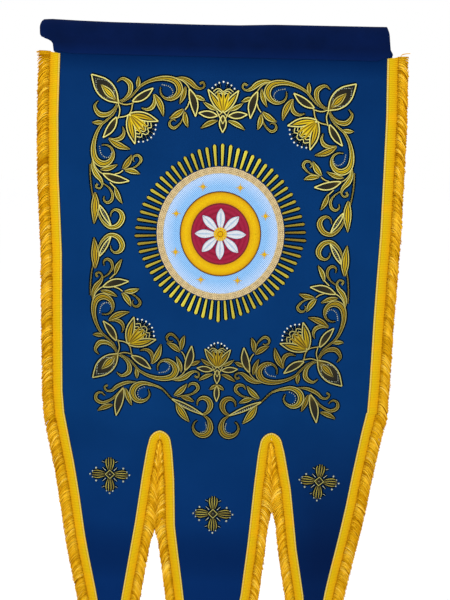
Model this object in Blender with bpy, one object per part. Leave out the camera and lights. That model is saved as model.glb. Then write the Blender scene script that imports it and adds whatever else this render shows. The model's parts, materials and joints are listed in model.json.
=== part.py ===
"""A hanging church banner: a blue cloth with three pointed tails, a dark sleeve for a rod along its
top, a gold fringe sewn round every edge, and a round medallion with a corded rim on its front.

Metres. +X is right and +Z up as one faces the banner, and the front looks along -Y. The origin is
the middle of the sleeve's top edge, where the banner is held.
"""

import math
import random

import bmesh
import bpy
import numpy as np
from mathutils import Vector

# Cloth
CLOTH_THICKNESS = 0.0015
CLEARANCE = 0.0003          # between pieces that touch
BODY_ROW = 0.045            # height of one row of the cloth's mesh above the tails
TAIL_ROW = 0.022            # the same in the tails, where the waves are deeper
OUTER_COLUMNS = 6           # mesh columns across a side tail
SLIT_COLUMNS = 4            # mesh columns over a slit
MIDDLE_COLUMNS = 5          # mesh columns across the middle tail
SLIT_RADIUS = 0.013         # round top of each slit
TIP_RADIUS = 0.005          # round end of each tail
TIP_NARROWING = 0.62        # how much narrower the end's last row of mesh is
TIP_ROUNDING = 0.80         # how far it lies below the straight edges, for each half width
FIRST_ROW = -0.100          # the first level row of mesh under the sleeve
ROW_OVER_SLITS = 0.018      # from the slits' round tops up to the last level row

# Edges of the cloth as they hang, in tables with the columns height, distance from the middle
OUTER_LEFT = [
    (-0.060, -0.3165), (-0.175, -0.3210), (-0.290, -0.3215), (-0.440, -0.3155),
    (-0.720, -0.3163), (-0.765, -0.3130), (-0.870, -0.2940), (-1.030, -0.2700),
    (-1.165, -0.2470), (-1.385, -0.2130),
]
OUTER_RIGHT = [
    (-0.048, 0.3180), (-0.160, 0.3225), (-0.385, 0.3245), (-0.560, 0.3215),
    (-0.690, 0.3205), (-0.745, 0.3190), (-0.790, 0.3110), (-0.940, 0.2895),
    (-1.145, 0.2545), (-1.385, 0.2225),
]
LEFT_SLIT_OUTER = [
    (-0.820, -0.1200), (-0.900, -0.1325), (-1.000, -0.1455), (-1.165, -0.1720), (-1.385, -0.2030),
]
LEFT_SLIT_INNER = [
    (-0.820, -0.0940), (-0.900, -0.0875), (-1.000, -0.0838), (-1.165, -0.0630), (-1.570, 0.0050),
]
RIGHT_SLIT_INNER = [
    (-0.817, 0.1065), (-0.915, 0.0980), (-1.040, 0.0888), (-1.150, 0.0790), (-1.570, 0.0150),
]
RIGHT_SLIT_OUTER = [
    (-0.817, 0.1325), (-0.915, 0.1525), (-1.045, 0.1695), (-1.150, 0.1885), (-1.385, 0.2125),
]
SIDE_CORNER = -0.745        # height at which the straight sides turn in to the side tails
SIDE_TIP = LEFT_SLIT_OUTER[-1][0]
MIDDLE_TIP = LEFT_SLIT_INNER[-1][0]
LEFT_SLIT_TOP = LEFT_SLIT_OUTER[0][0]
RIGHT_SLIT_TOP = RIGHT_SLIT_OUTER[0][0]

# Waves in which the cloth hangs: the front goes forward or back by these much
BODY_WAVE = 0.0018
BODY_WAVE_LENGTH = 0.52
TAIL_WAVE = 0.0036
TAIL_WAVE_LENGTH = 0.27
TAIL_WAVE_MIDDLE = -1.085   # height at which the tails swing back fastest
TAIL_WAVE_START = -0.72
RIGHT_TAIL_TURN = 0.006     # the right tail's outer edge stands this far back
LEFT_TAIL_TURN = 0.003
TURN_START = 0.100          # distance from the middle at which the side tails start to turn
TURN_REACH = 0.200
CALM_TOP = -0.060           # the cloth is flat here, where it leaves the sleeve
CALM_LENGTH = 0.120         # and reaches its full waves this far below
TAIL_CALM_LENGTH = 0.300
BODY_WAVE_SLANT = 0.35      # how much a wave's crest climbs for each metre across
TAIL_WAVE_SLANT = -0.10

# Sleeve for the rod
SLEEVE_HEIGHT = 0.0602
SLEEVE_WALL = 0.0020
SLEEVE_STATIONS = 22
SLEEVE_WALLS = 2.6          # top and bottom seam together, in wall thicknesses
SLEEVE_NARROWEST = 0.0008   # half of the space inside, where the walls come together
SLEEVE_PUCKER = 0.05        # how much the sleeve's fullness comes and goes along it
PUCKERS_PER_METRE = 4.9
SLEEVE_SECTION = [          # share of the height from the top, half of the depth
    (0.00, 0.0026), (0.05, 0.0076), (0.17, 0.0118), (0.32, 0.0132),
    (0.50, 0.0120), (0.70, 0.0084), (0.87, 0.0048), (1.00, 0.0024),
]
SLEEVE_LEFT_END = [         # share of the height, where the left end stands
    (0.00, -0.3340), (0.08, -0.3400), (0.17, -0.3430), (0.50, -0.3430),
    (0.60, -0.3370), (0.70, -0.3230), (0.87, -0.3185), (1.00, -0.3180),
]
SLEEVE_RIGHT_END = [(0.00, 0.3030), (0.45, 0.3110), (1.00, 0.3180)]
SLEEVE_TOP = [(-0.343, 0.0000), (-0.210, -0.0012), (0.000, 0.0000), (0.190, 0.0006), (0.318, -0.0010)]
SLEEVE_FOOT = [(-0.343, -0.0562), (-0.304, -0.0575), (-0.284, -0.0602), (0.290, -0.0598), (0.318, -0.0490)]

# Fringe: a flat braid sewn over the cloth's edge, with locks of twisted thread hanging from it
BRAID_THICKNESS = 0.0020
BRAID_COVER = 0.0110        # on the cloth, in from its edge
BRAID_PROUD = 0.0090        # past the cloth's edge
LOCK_PITCH = 0.0215
LOCK_SHARE = 0.80           # of the pitch that a lock's root takes
LOCK_REACH = 0.0245         # straight out from the braid
LOCK_DROP = 0.62            # downwards for each metre outwards
LOCK_LEVELS = [             # share of the reach, share of the drop, width left, depth left
    (0.52, 0.36, 1.00, 1.35), (1.00, 1.00, 0.66, 0.80),
]
SHORTEST_LOCK = 0.0020
LOCK_SIDE_GAP = 0.0010      # from a lock to the line along the middle of its slit
REACH_SPREAD = 0.10
DROP_SPREAD = 0.12
DEPTH_SPREAD = 0.0010
ARC_STEP = math.radians(22.5)
SLOPE_STEP = 0.004          # over which an edge's direction is read
RIGHT_TOP_SLANT = math.radians(20)      # the right fringe's top end rises outwards

# Medallion
MEDALLION_CENTRE = (0.005, -0.3932)
MEDALLION_RADII = (0.1240, 0.1300)      # across and up, to the outside of the corded rim
RIM_WIDTH = 0.0126
RIM_HEIGHT = 0.0034
RIM_TURNS = 44
RIM_STEPS_PER_TURN = 2
RIM_TWIST_DEPTH = 0.0005
RIM_TWIST_LEAN = 5.0        # how far a turn of the cord leans from the inner to the outer side
RIM_SECTION = [             # share of the width, share of the height
    (0.00, 0.00), (0.14, 0.68), (0.50, 1.00), (0.86, 0.68), (1.00, 0.00),
]
DISC_THICKNESS = 0.0012
DISC_STEPS = 48
DISC_RINGS = (0.33, 0.66)

# Colours, roughness
NAVY = ((0.008, 0.045, 0.170), 0.62)
DARK_NAVY = ((0.003, 0.011, 0.058), 0.80)
GOLD_BRAID = ((0.780, 0.470, 0.020), 0.45)
GOLD_CORD = ((0.560, 0.440, 0.180), 0.45)
MEDALLION_BLUE = ((0.300, 0.480, 0.720), 0.60)

random.seed(7)


def clear_scene():
    for thing in list(bpy.data.objects):
        bpy.data.objects.remove(thing, do_unlink=True)


def material(name, finish):
    colour, roughness = finish
    made = bpy.data.materials.new(name)
    made.use_nodes = True
    shader = made.node_tree.nodes["Principled BSDF"]
    shader.inputs["Base Color"].default_value = (*colour, 1.0)
    shader.inputs["Roughness"].default_value = roughness
    shader.inputs["Metallic"].default_value = 0.0
    return made


def piece(name, shape, finish):
    """Turns a bmesh into a named object with its own material."""
    bmesh.ops.recalc_face_normals(shape, faces=shape.faces)
    mesh = bpy.data.meshes.new(name)
    shape.to_mesh(mesh)
    shape.free()
    made = bpy.data.objects.new(name, mesh)
    bpy.context.scene.collection.objects.link(made)
    mesh.materials.append(material(name, finish))
    return made


def read(table, at):
    """The second column of a table at a value of its first column."""
    rows = sorted(table)
    return float(np.interp(at, [row[0] for row in rows], [row[1] for row in rows]))


def smooth_step(share):
    share = min(max(share, 0.0), 1.0)
    return share * share * (3 - 2 * share)


def sway(x, z):
    """How far back the middle of the cloth's thickness hangs, at a place on the banner."""
    top = smooth_step((CALM_TOP - z) / CALM_LENGTH)
    body = BODY_WAVE * math.sin(math.tau * (z + BODY_WAVE_SLANT * x) / BODY_WAVE_LENGTH) * top
    depth = smooth_step((TAIL_WAVE_START - z) / TAIL_CALM_LENGTH)
    along = (z - TAIL_WAVE_MIDDLE + TAIL_WAVE_SLANT * x) / TAIL_WAVE_LENGTH
    tail = -TAIL_WAVE * depth * math.sin(math.tau * along)
    turn = RIGHT_TAIL_TURN if x > 0 else LEFT_TAIL_TURN
    turned = turn * depth * (max(abs(x) - TURN_START, 0.0) / TURN_REACH) ** 2
    return body * (1 - depth) + tail + turned


def rows_between(high, low, step):
    """Evenly spaced heights from high down to low, both included."""
    count = max(1, round((high - low) / step))
    return [high + (low - high) * i / count for i in range(count + 1)]


def arc_height(x, left, right, top):
    """The round top of a slit over x, or the slit's own height beside it."""
    middle = (left + right) / 2
    half = (right - left) / 2
    reach = min(abs(x - middle) / half, 1.0)
    return top + half * math.sqrt(1 - reach * reach)


def column_places(z_left, z_right):
    """Where the mesh columns stand in one row, whose height may differ at the two slits."""
    edges = [
        read(OUTER_LEFT, z_left),
        read(LEFT_SLIT_OUTER, z_left),
        read(LEFT_SLIT_INNER, z_left),
        read(RIGHT_SLIT_INNER, z_right),
        read(RIGHT_SLIT_OUTER, z_right),
        read(OUTER_RIGHT, z_right),
    ]
    counts = (OUTER_COLUMNS, SLIT_COLUMNS, MIDDLE_COLUMNS, SLIT_COLUMNS, OUTER_COLUMNS)
    places = []
    for start, end, count in zip(edges, edges[1:], counts):
        places += [start + (end - start) * i / count for i in range(count)]
    return places + [edges[-1]]


def slit_ranges():
    """First and last column of the left and the right slit."""
    left = OUTER_COLUMNS
    right = OUTER_COLUMNS + SLIT_COLUMNS + MIDDLE_COLUMNS
    return (left, left + SLIT_COLUMNS), (right, right + SLIT_COLUMNS)


def add_grid(shape, rows):
    """Joins rows of points, all of one length, into faces."""
    made = [[shape.verts.new((x, sway(x, z), z)) for x, z in row] for row in rows]
    for upper, lower in zip(made, made[1:]):
        for i in range(len(upper) - 1):
            shape.faces.new((upper[i], upper[i + 1], lower[i + 1], lower[i]))


def body_rows():
    """The cloth above the slits, from the sleeve down to the slits' round tops."""
    left_slit, right_slit = slit_ranges()
    last = column_places(LEFT_SLIT_TOP, RIGHT_SLIT_TOP)
    floor = []
    for i, x in enumerate(last):
        share = (x - last[0]) / (last[-1] - last[0])
        z = LEFT_SLIT_TOP + (RIGHT_SLIT_TOP - LEFT_SLIT_TOP) * share
        for (first, end), top in ((left_slit, LEFT_SLIT_TOP), (right_slit, RIGHT_SLIT_TOP)):
            if first <= i <= end:
                z = arc_height(x, last[first], last[end], top)
        floor.append((x, z))
    lowest_level = LEFT_SLIT_TOP + SLIT_RADIUS + ROW_OVER_SLITS
    rows = []
    for z in rows_between(FIRST_ROW, lowest_level, BODY_ROW):
        rows.append([(x, z) for x in column_places(z, z)])
    places = column_places(OUTER_LEFT[0][0], OUTER_RIGHT[0][0])
    places[1], places[-2] = SLEEVE_FOOT[2][0], SLEEVE_FOOT[3][0]
    head = [(x, read(SLEEVE_FOOT, x) - CLEARANCE) for x in places]
    return [head] + rows + [floor]


def tail_rows(left_edge, right_edge, count, top, tip):
    """One tail, from the height of its slits down to its round end."""
    straight_end = tip + TIP_RADIUS
    heights = rows_between(top, straight_end, TAIL_ROW)
    rows = []
    for z in heights:
        left = read(left_edge, z)
        right = read(right_edge, z)
        rows.append([(left + (right - left) * i / count, z) for i in range(count + 1)])
    left, right = rows[-1][0][0], rows[-1][-1][0]
    middle, half = (left + right) / 2, (right - left) / 2
    end = straight_end - half * TIP_ROUNDING
    rows.append([(middle + (x - middle) * TIP_NARROWING, end) for x, _ in rows[-1]])
    return rows


def cloth():
    shape = bmesh.new()
    add_grid(shape, body_rows())
    left_slit, right_slit = slit_ranges()
    tails = (
        (OUTER_LEFT, LEFT_SLIT_OUTER, OUTER_COLUMNS, LEFT_SLIT_TOP, SIDE_TIP),
        (LEFT_SLIT_INNER, RIGHT_SLIT_INNER, MIDDLE_COLUMNS, LEFT_SLIT_TOP, MIDDLE_TIP),
        (RIGHT_SLIT_OUTER, OUTER_RIGHT, OUTER_COLUMNS, RIGHT_SLIT_TOP, SIDE_TIP),
    )
    floor = body_rows()[-1]
    starts = (0, left_slit[1], right_slit[1])
    for (left_edge, right_edge, count, top, tip), start in zip(tails, starts):
        rows = tail_rows(left_edge, right_edge, count, top, tip)
        rows[0] = floor[start:start + count + 1]
        add_grid(shape, rows)
    bmesh.ops.remove_doubles(shape, verts=shape.verts, dist=0.00002)
    bmesh.ops.recalc_face_normals(shape, faces=shape.faces)
    made = piece("banner_cloth", shape, NAVY)
    thick = made.modifiers.new("thickness", "SOLIDIFY")
    thick.thickness = CLOTH_THICKNESS
    thick.offset = 0.0
    return made


def sleeve_loop(shape, along, inner):
    """One cross-section of the sleeve's outer or inner wall, as a ring of points."""
    ring = []
    downwards = [(share, depth, -1) for share, depth in SLEEVE_SECTION]
    upwards = [(share, depth, 1) for share, depth in reversed(SLEEVE_SECTION)]
    for share, depth, side in downwards + upwards:
        if inner:
            wall_share = SLEEVE_WALL / SLEEVE_HEIGHT
            share = wall_share + share * (1 - SLEEVE_WALLS * wall_share)
            depth = max(read(SLEEVE_SECTION, share) - SLEEVE_WALL, SLEEVE_NARROWEST)
        left = read(SLEEVE_LEFT_END, share)
        right = read(SLEEVE_RIGHT_END, share)
        x = left + (right - left) * along
        top = read(SLEEVE_TOP, x)
        foot = read(SLEEVE_FOOT, x)
        fullness = 1 + SLEEVE_PUCKER * math.sin(math.tau * PUCKERS_PER_METRE * x)
        ring.append(shape.verts.new((x, side * depth * fullness, top + (foot - top) * share)))
    return ring


def bridge(shape, first, second):
    """Joins two rings of points with faces all the way round."""
    for i in range(len(first)):
        after = (i + 1) % len(first)
        shape.faces.new((first[i], first[after], second[after], second[i]))


def heading_sleeve():
    shape = bmesh.new()
    shares = [0.5 - 0.5 * math.cos(math.pi * i / SLEEVE_STATIONS) for i in range(SLEEVE_STATIONS + 1)]
    outer = [sleeve_loop(shape, share, False) for share in shares]
    inner = [sleeve_loop(shape, share, True) for share in shares]
    for wall in (outer, inner):
        for first, second in zip(wall, wall[1:]):
            bridge(shape, first, second)
    bridge(shape, outer[0], inner[0])
    bridge(shape, outer[-1], inner[-1])
    return piece("heading_sleeve", shape, DARK_NAVY)


def edge_station(table, z, side, half_width):
    """A point on an edge of the cloth, the way out from the cloth, and how much cloth the braid covers."""
    rise = read(table, z + SLOPE_STEP) - read(table, z - SLOPE_STEP)
    along = Vector((rise, 2 * SLOPE_STEP)).normalized()
    out = Vector((along.y, -along.x)) * side
    cover = min(BRAID_COVER, half_width(z) - CLEARANCE)
    return Vector((read(table, z), z)), out, cover


def edge_stations(table, high, low, side, half_width):
    """Stations down one edge in pairs: a lock hangs between each pair, and a gap follows it."""
    count = max(1, round((high - low) / LOCK_PITCH))
    pitch = (high - low) / count
    stations = []
    for i in range(count):
        z = high - i * pitch
        stations.append((*edge_station(table, z, side, half_width), True))
        stations.append((*edge_station(table, z - pitch * LOCK_SHARE, side, half_width), False))
    stations.append((*edge_station(table, low, side, half_width), False))
    return stations


def arc_stations(centre, radius, start, end, inward, cover, locks):
    """Stations round a slit's top, where the way out points inward, or round a tail's end."""
    count = max(1, round(abs(end - start) / ARC_STEP))
    stations = []
    for i in range(count + 1):
        turn = start + (end - start) * i / count
        out = Vector((math.cos(turn), math.sin(turn)))
        place = Vector(centre) + out * radius
        stations.append((place, -out if inward else out, cover, locks and i % 2 == 0))
    return stations


def room_outwards(place, out, limit):
    """How far a lock may reach, which is less where it would meet the middle line of its slit."""
    if limit is None or abs(out.x) < 0.5:
        return LOCK_REACH
    return min(LOCK_REACH, (limit(place.y) - place.x) / out.x - BRAID_PROUD - LOCK_SIDE_GAP)


def fringe(name, stations, limit):
    """A braid that follows the stations, with one lock drawn out of its outer side per lock mark."""
    shape = bmesh.new()
    back = -CLOTH_THICKNESS / 2 - CLEARANCE
    front = back - BRAID_THICKNESS
    corners = []
    for place, out, cover, _ in stations:
        inner = place - out * cover
        outer = place + out * BRAID_PROUD
        corners.append([
            shape.verts.new((spot.x, sway(spot.x, spot.y) + y, spot.y))
            for spot, y in ((inner, front), (outer, front), (outer, back), (inner, back))
        ])
    sides = []
    for first, second in zip(corners, corners[1:]):
        for i in range(4):
            after = (i + 1) % 4
            face = shape.faces.new((first[i], first[after], second[after], second[i]))
            if i == 1:
                sides.append(face)
    shape.faces.new(corners[0])
    shape.faces.new(corners[-1])
    bmesh.ops.recalc_face_normals(shape, faces=shape.faces)
    for (place, out, _, lock), side in zip(stations, sides):
        spread = (random.uniform(-1, 1), random.uniform(-1, 1), random.uniform(-1, 1))
        reach = room_outwards(place, out, limit)
        if lock and reach > SHORTEST_LOCK:
            add_lock(shape, side, out, reach, spread)
    return piece(name, shape, GOLD_BRAID)


def add_lock(shape, side, out, reach, spread):
    """Draws a lock out of one side face of the braid: outwards at first, and then down."""
    drop = LOCK_DROP * reach * (1 + DROP_SPREAD * spread[1])
    reach *= 1 - REACH_SPREAD * abs(spread[0])
    root = side.calc_center_median()
    grown = side
    width_before, depth_before = 1.0, 1.0
    done = Vector((0, 0, 0))
    for reach_share, drop_share, width, depth in LOCK_LEVELS:
        grown = bmesh.ops.extrude_discrete_faces(shape, faces=[grown])["faces"][0]
        goal = Vector((out.x, 0, out.y)) * reach * reach_share
        goal += Vector((0, DEPTH_SPREAD * spread[2] * reach_share, -drop * drop_share))
        bmesh.ops.translate(shape, verts=grown.verts, vec=goal - done)
        done = goal
        centre = root + goal
        for corner in grown.verts:
            away = corner.co - centre
            corner.co = centre + Vector((
                away.x * width / width_before,
                away.y * depth / depth_before,
                away.z * width / width_before,
            ))
        width_before, depth_before = width, depth


def half_between(left_edge, right_edge):
    """Half the width of a tail at a height, which is all that each of its two braids may cover."""
    return lambda z: (read(right_edge, z) - read(left_edge, z)) / 2


def wide(_):
    """The body of the banner is wider than any braid needs."""
    return 1.0


def middle_between(left_edge, right_edge):
    """The line along the middle of a slit."""
    return lambda z: (read(left_edge, z) + read(right_edge, z)) / 2


def fringes():
    """Eight lengths of fringe: two straight sides, and both edges of each of the three tails."""
    left_tail = half_between(OUTER_LEFT, LEFT_SLIT_OUTER)
    middle_tail = half_between(LEFT_SLIT_INNER, RIGHT_SLIT_INNER)
    right_tail = half_between(RIGHT_SLIT_OUTER, OUTER_RIGHT)
    left_gap = middle_between(LEFT_SLIT_OUTER, LEFT_SLIT_INNER)
    right_gap = middle_between(RIGHT_SLIT_INNER, RIGHT_SLIT_OUTER)
    slit_tops = {
        "left": (left_gap(LEFT_SLIT_TOP), LEFT_SLIT_TOP),
        "right": (right_gap(RIGHT_SLIT_TOP), RIGHT_SLIT_TOP),
    }
    seam = CLEARANCE / 2
    left_edge = edge_stations(OUTER_LEFT, OUTER_LEFT[0][0] + 0.001, SIDE_CORNER + seam, -1, wide)
    fringe("fringe_left_edge", left_edge, None)
    right_edge = edge_stations(OUTER_RIGHT, OUTER_RIGHT[0][0] - 0.002, SIDE_CORNER + seam, 1, wide)
    place, _, cover, lock = right_edge[0]
    right_edge[0] = (place, Vector((math.cos(RIGHT_TOP_SLANT), math.sin(RIGHT_TOP_SLANT))), cover, lock)
    fringe("fringe_right_edge", right_edge, None)
    outside = (SIDE_CORNER - seam, SIDE_TIP)
    left_slit, right_slit = (LEFT_SLIT_TOP, SIDE_TIP), (RIGHT_SLIT_TOP, SIDE_TIP)
    middle_left, middle_right = (LEFT_SLIT_TOP, MIDDLE_TIP), (RIGHT_SLIT_TOP, MIDDLE_TIP)
    runs = (
        ("left_tail_outer", OUTER_LEFT, outside, -1, left_tail, None, None),
        ("left_tail_inner", LEFT_SLIT_OUTER, left_slit, 1, left_tail, left_gap, "left"),
        ("middle_left", LEFT_SLIT_INNER, middle_left, -1, middle_tail, left_gap, "left"),
        ("middle_right", RIGHT_SLIT_INNER, middle_right, 1, middle_tail, right_gap, "right"),
        ("right_tail_inner", RIGHT_SLIT_OUTER, right_slit, -1, right_tail, right_gap, "right"),
        ("right_tail_outer", OUTER_RIGHT, outside, 1, right_tail, None, None),
    )
    for name, table, (high, tip), side, half_width, limit, slit in runs:
        end = tip + TIP_RADIUS
        stations = edge_stations(table, high, end, side, half_width)
        if slit:
            start = math.pi / 2 + side * seam / SLIT_RADIUS
            top = arc_stations(slit_tops[slit], SLIT_RADIUS, start, math.pi if side > 0 else 0.0,
                               True, BRAID_COVER, False)
            stations = top[:-1] + stations
        half = half_width(end)
        centre = (read(table, end) - side * half, end)
        foot = -math.pi / 2 + side * seam / half
        tip_arc = arc_stations(centre, half, 0.0 if side > 0 else -math.pi, foot,
                               False, half - 2 * CLEARANCE, True)
        fringe("fringe_" + name, stations[:-1] + tip_arc, limit)


def on_ellipse(turn, inset):
    """A place round the medallion, a distance in from its outside."""
    across = MEDALLION_RADII[0] - inset
    up = MEDALLION_RADII[1] - inset
    return MEDALLION_CENTRE[0] + across * math.cos(turn), MEDALLION_CENTRE[1] + up * math.sin(turn)


def medallion_ring():
    """The corded rim: a low ring whose top rises and falls with the turns of the cord."""
    shape = bmesh.new()
    steps = RIM_TURNS * RIM_STEPS_PER_TURN
    back = -CLOTH_THICKNESS / 2 - CLEARANCE
    rings = []
    for i in range(steps):
        turn = math.tau * i / steps
        ring = []
        for share, height in RIM_SECTION:
            lean = math.pi * i + RIM_TWIST_LEAN * (share - 0.5)
            twist = RIM_TWIST_DEPTH * math.sin(lean) if height else 0.0
            x, z = on_ellipse(turn, share * RIM_WIDTH)
            ring.append(shape.verts.new((x, sway(x, z) + back - height * RIM_HEIGHT + twist, z)))
        rings.append(ring)
    for first, second in zip(rings, rings[1:] + rings[:1]):
        bridge(shape, first, second)
    return piece("medallion_ring", shape, GOLD_CORD)


def medallion_disc():
    """The embroidered round inside the rim, a thin plate that follows the cloth."""
    shape = bmesh.new()
    inset = RIM_WIDTH + CLEARANCE
    back = -CLOTH_THICKNESS / 2 - CLEARANCE
    centre_x, centre_z = MEDALLION_CENTRE
    layers = []
    for y in (back, back - DISC_THICKNESS):
        middle = shape.verts.new((centre_x, sway(centre_x, centre_z) + y, centre_z))
        rings = []
        for share in DISC_RINGS + (1.0,):
            ring = []
            for i in range(DISC_STEPS):
                edge_x, edge_z = on_ellipse(math.tau * i / DISC_STEPS, inset)
                x = centre_x + (edge_x - centre_x) * share
                z = centre_z + (edge_z - centre_z) * share
                ring.append(shape.verts.new((x, sway(x, z) + y, z)))
            rings.append(ring)
        for i in range(DISC_STEPS):
            shape.faces.new((middle, rings[0][i], rings[0][(i + 1) % DISC_STEPS]))
        for first, second in zip(rings, rings[1:]):
            bridge(shape, first, second)
        layers.append(rings[-1])
    bridge(shape, *layers)
    return piece("medallion_disc", shape, MEDALLION_BLUE)


clear_scene()
heading_sleeve()
cloth()
fringes()
medallion_ring()
medallion_disc()
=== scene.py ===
# %% [markdown]
# # A hanging church banner, dressed over its CAD model
# The imported CAD model is the frame: every piece below goes where that model says, in metres, with +X
# to the right, +Z up, and the front looking along -Y. The CAD solids are plain stand-ins, so cloth,
# fringe, embroidery and medallion are all modelled here, and each piece that replaces a solid hides it.

# %% Load the frame
import json
import math

import bmesh
import bpy
import numpy as np
from mathutils import Matrix, Vector

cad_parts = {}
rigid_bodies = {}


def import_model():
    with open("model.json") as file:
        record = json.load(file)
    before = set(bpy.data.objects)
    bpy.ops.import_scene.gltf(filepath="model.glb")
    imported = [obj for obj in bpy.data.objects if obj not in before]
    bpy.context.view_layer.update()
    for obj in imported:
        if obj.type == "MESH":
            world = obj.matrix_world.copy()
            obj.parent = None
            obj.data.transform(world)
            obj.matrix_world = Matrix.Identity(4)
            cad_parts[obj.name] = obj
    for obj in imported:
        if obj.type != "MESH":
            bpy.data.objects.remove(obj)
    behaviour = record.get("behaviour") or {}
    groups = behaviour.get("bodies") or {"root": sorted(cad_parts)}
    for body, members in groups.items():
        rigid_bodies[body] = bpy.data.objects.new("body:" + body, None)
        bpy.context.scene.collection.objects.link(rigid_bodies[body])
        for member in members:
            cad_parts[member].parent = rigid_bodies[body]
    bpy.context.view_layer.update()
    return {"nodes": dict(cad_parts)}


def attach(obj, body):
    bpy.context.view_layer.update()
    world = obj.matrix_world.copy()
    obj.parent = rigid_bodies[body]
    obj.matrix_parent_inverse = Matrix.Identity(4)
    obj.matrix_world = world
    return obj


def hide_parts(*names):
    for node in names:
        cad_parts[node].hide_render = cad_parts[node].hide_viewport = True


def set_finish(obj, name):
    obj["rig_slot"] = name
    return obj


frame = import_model()
chance = np.random.default_rng(5)
print("solids:", sorted(frame["nodes"]))

# %% [markdown]
# The camera comes first, since every finish is seen through it. The photo was taken from a little
# above the banner's middle, looking slightly down. Its place and lens come from the corners of the
# embroidered border, whose shape is known. A camera looks along its own -Z, so its rotation is built
# from three directions: to the right, up, and back towards the eye.

# %% Camera
EYE = Vector((0.04522, -1.7, -0.21570))
LOOKS_DOWN = 0.178940        # radians
LOOKS_ASIDE = 0.016262
LEANS_OVER = 0.027892
LENS = 52.53                 # millimetres on a 36 mm sensor

level = Vector((math.cos(LOOKS_ASIDE), math.sin(LOOKS_ASIDE), 0))
ahead = Vector((-math.sin(LOOKS_ASIDE), math.cos(LOOKS_ASIDE), 0)) * math.cos(LOOKS_DOWN)
ahead += Vector((0, 0, -math.sin(LOOKS_DOWN)))
above = level.cross(ahead)
right = math.cos(LEANS_OVER) * level + math.sin(LEANS_OVER) * above
up = -math.sin(LEANS_OVER) * level + math.cos(LEANS_OVER) * above

bpy.ops.object.camera_add(location=EYE)
camera = bpy.context.object
camera.matrix_world = Matrix.Translation(EYE) @ Matrix((right, up, -ahead)).transposed().to_4x4()
camera.data.lens = LENS
bpy.context.scene.camera = camera
print("camera at", tuple(round(v, 3) for v in EYE))

# %% [markdown]
# The light is a pale sky all round with two large soft lamps in front, one on each side. That is how
# cloth is usually photographed: no hard shadows, and a little gloss on the threads. A third lamp
# shines straight down and makes the floor as pale as the sky behind it. The floor is one
# wide pale sheet, far enough under the tails that it only catches a faint shade.

# %% Floor, sky and lamps
FLOOR_HEIGHT = -1.75
SKY_STRENGTH = 0.72          # as the banner is lit by it; the eye sees it pale
SEEN_SKY = 1.0
LAMPS = (                    # place, watts, size
    ((-1.5, -2.2, 0.8), 52, 1.6),
    ((1.9, -2.1, 0.2), 16, 2.0),
)
FLOOR_LIGHT = 1.1            # straight down, so it fills the floor and only grazes the banner


def only(thing):
    """Selects one object and nothing else."""
    bpy.ops.object.select_all(action="DESELECT")
    thing.select_set(True)
    bpy.context.view_layer.objects.active = thing
    return thing


def material(name, roughness, **settings):
    """A material whose even values stand on its own shader's sockets."""
    made = bpy.data.materials.new(name)
    made.use_nodes = True
    shader = made.node_tree.nodes["Principled BSDF"]
    shader.inputs["Roughness"].default_value = roughness
    for socket, value in settings.items():
        shader.inputs[socket.replace("_", " ")].default_value = value
    return made


def node(tree, kind, *inputs, **settings):
    """A new node, with its settings, and with values or other nodes' outputs on its inputs."""
    made = tree.nodes.new("ShaderNode" + kind)
    for name, value in settings.items():
        setattr(made, name, value)
    for socket, value in zip(made.inputs, inputs):
        if isinstance(value, bpy.types.NodeSocket):
            tree.links.new(value, socket)
        elif value is not None:
            socket.default_value = value
    return made


def rgb(red, green, blue):
    """A colour as a paint chart gives it, 0 to 255, turned into the renderer's own light values."""
    parts = [v / 255 for v in (red, green, blue)]
    return (*[v / 12.92 if v <= 0.04045 else ((v + 0.055) / 1.055) ** 2.4 for v in parts], 1.0)


def blend(tree, share, first, second, how="MIX"):
    """Mixes two colours, and gives the output."""
    mixed = node(tree, "Mix", data_type="RGBA", blend_type=how)
    for socket, value in ((0, share), (6, first), (7, second)):
        if isinstance(value, bpy.types.NodeSocket):
            tree.links.new(value, mixed.inputs[socket])
        else:
            mixed.inputs[socket].default_value = value
    return mixed.outputs[2]


bpy.ops.object.select_all(action="DESELECT")
bpy.ops.mesh.primitive_plane_add(size=60, location=(0, 0, FLOOR_HEIGHT))
floor = bpy.context.object
floor.name = "pale_floor"
floor_paint = material("pale_paper", 0.9)
tree = floor_paint.node_tree
grain = node(tree, "TexNoise", None, None, 3.0)
tone = blend(tree, grain.outputs[0], rgb(247, 247, 248), rgb(252, 252, 252))
tree.links.new(tone, tree.nodes["Principled BSDF"].inputs["Base Color"])
floor.data.materials.append(floor_paint)

world = bpy.data.worlds.new("pale_sky")
world.use_nodes = True
tree = world.node_tree
seen = node(tree, "LightPath").outputs["Is Camera Ray"]
strength = node(tree, "MapRange", seen, 0.0, 1.0, SKY_STRENGTH, SEEN_SKY)
tree.nodes["Background"].inputs[0].default_value = (1.0, 1.0, 1.0, 1.0)
tree.links.new(strength.outputs[0], tree.nodes["Background"].inputs[1])
bpy.context.scene.world = world
bpy.context.scene.view_settings.view_transform = "Standard"
MIDDLE = Vector((0, 0, -0.75))
for place, watts, size in LAMPS:
    bpy.ops.object.light_add(type="AREA", location=place)
    lamp = bpy.context.object
    lamp.data.energy, lamp.data.size = watts, size
    lamp.rotation_euler = (MIDDLE - Vector(place)).to_track_quat("-Z", "Y").to_euler()
bpy.ops.object.light_add(type="SUN", location=(0, 0, 2))
bpy.context.object.data.energy = FLOOR_LIGHT
bpy.context.object.data.angle = math.radians(50)
print("lamps:", len(LAMPS) + 1)

# %% [markdown]
# The banner's edges are known as tables of height against distance from the middle, the same ones as
# the CAD model has, and so is the way the cloth sways. Every later piece asks this cell where the
# cloth is, so nothing floats over it or sinks into it.

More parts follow.
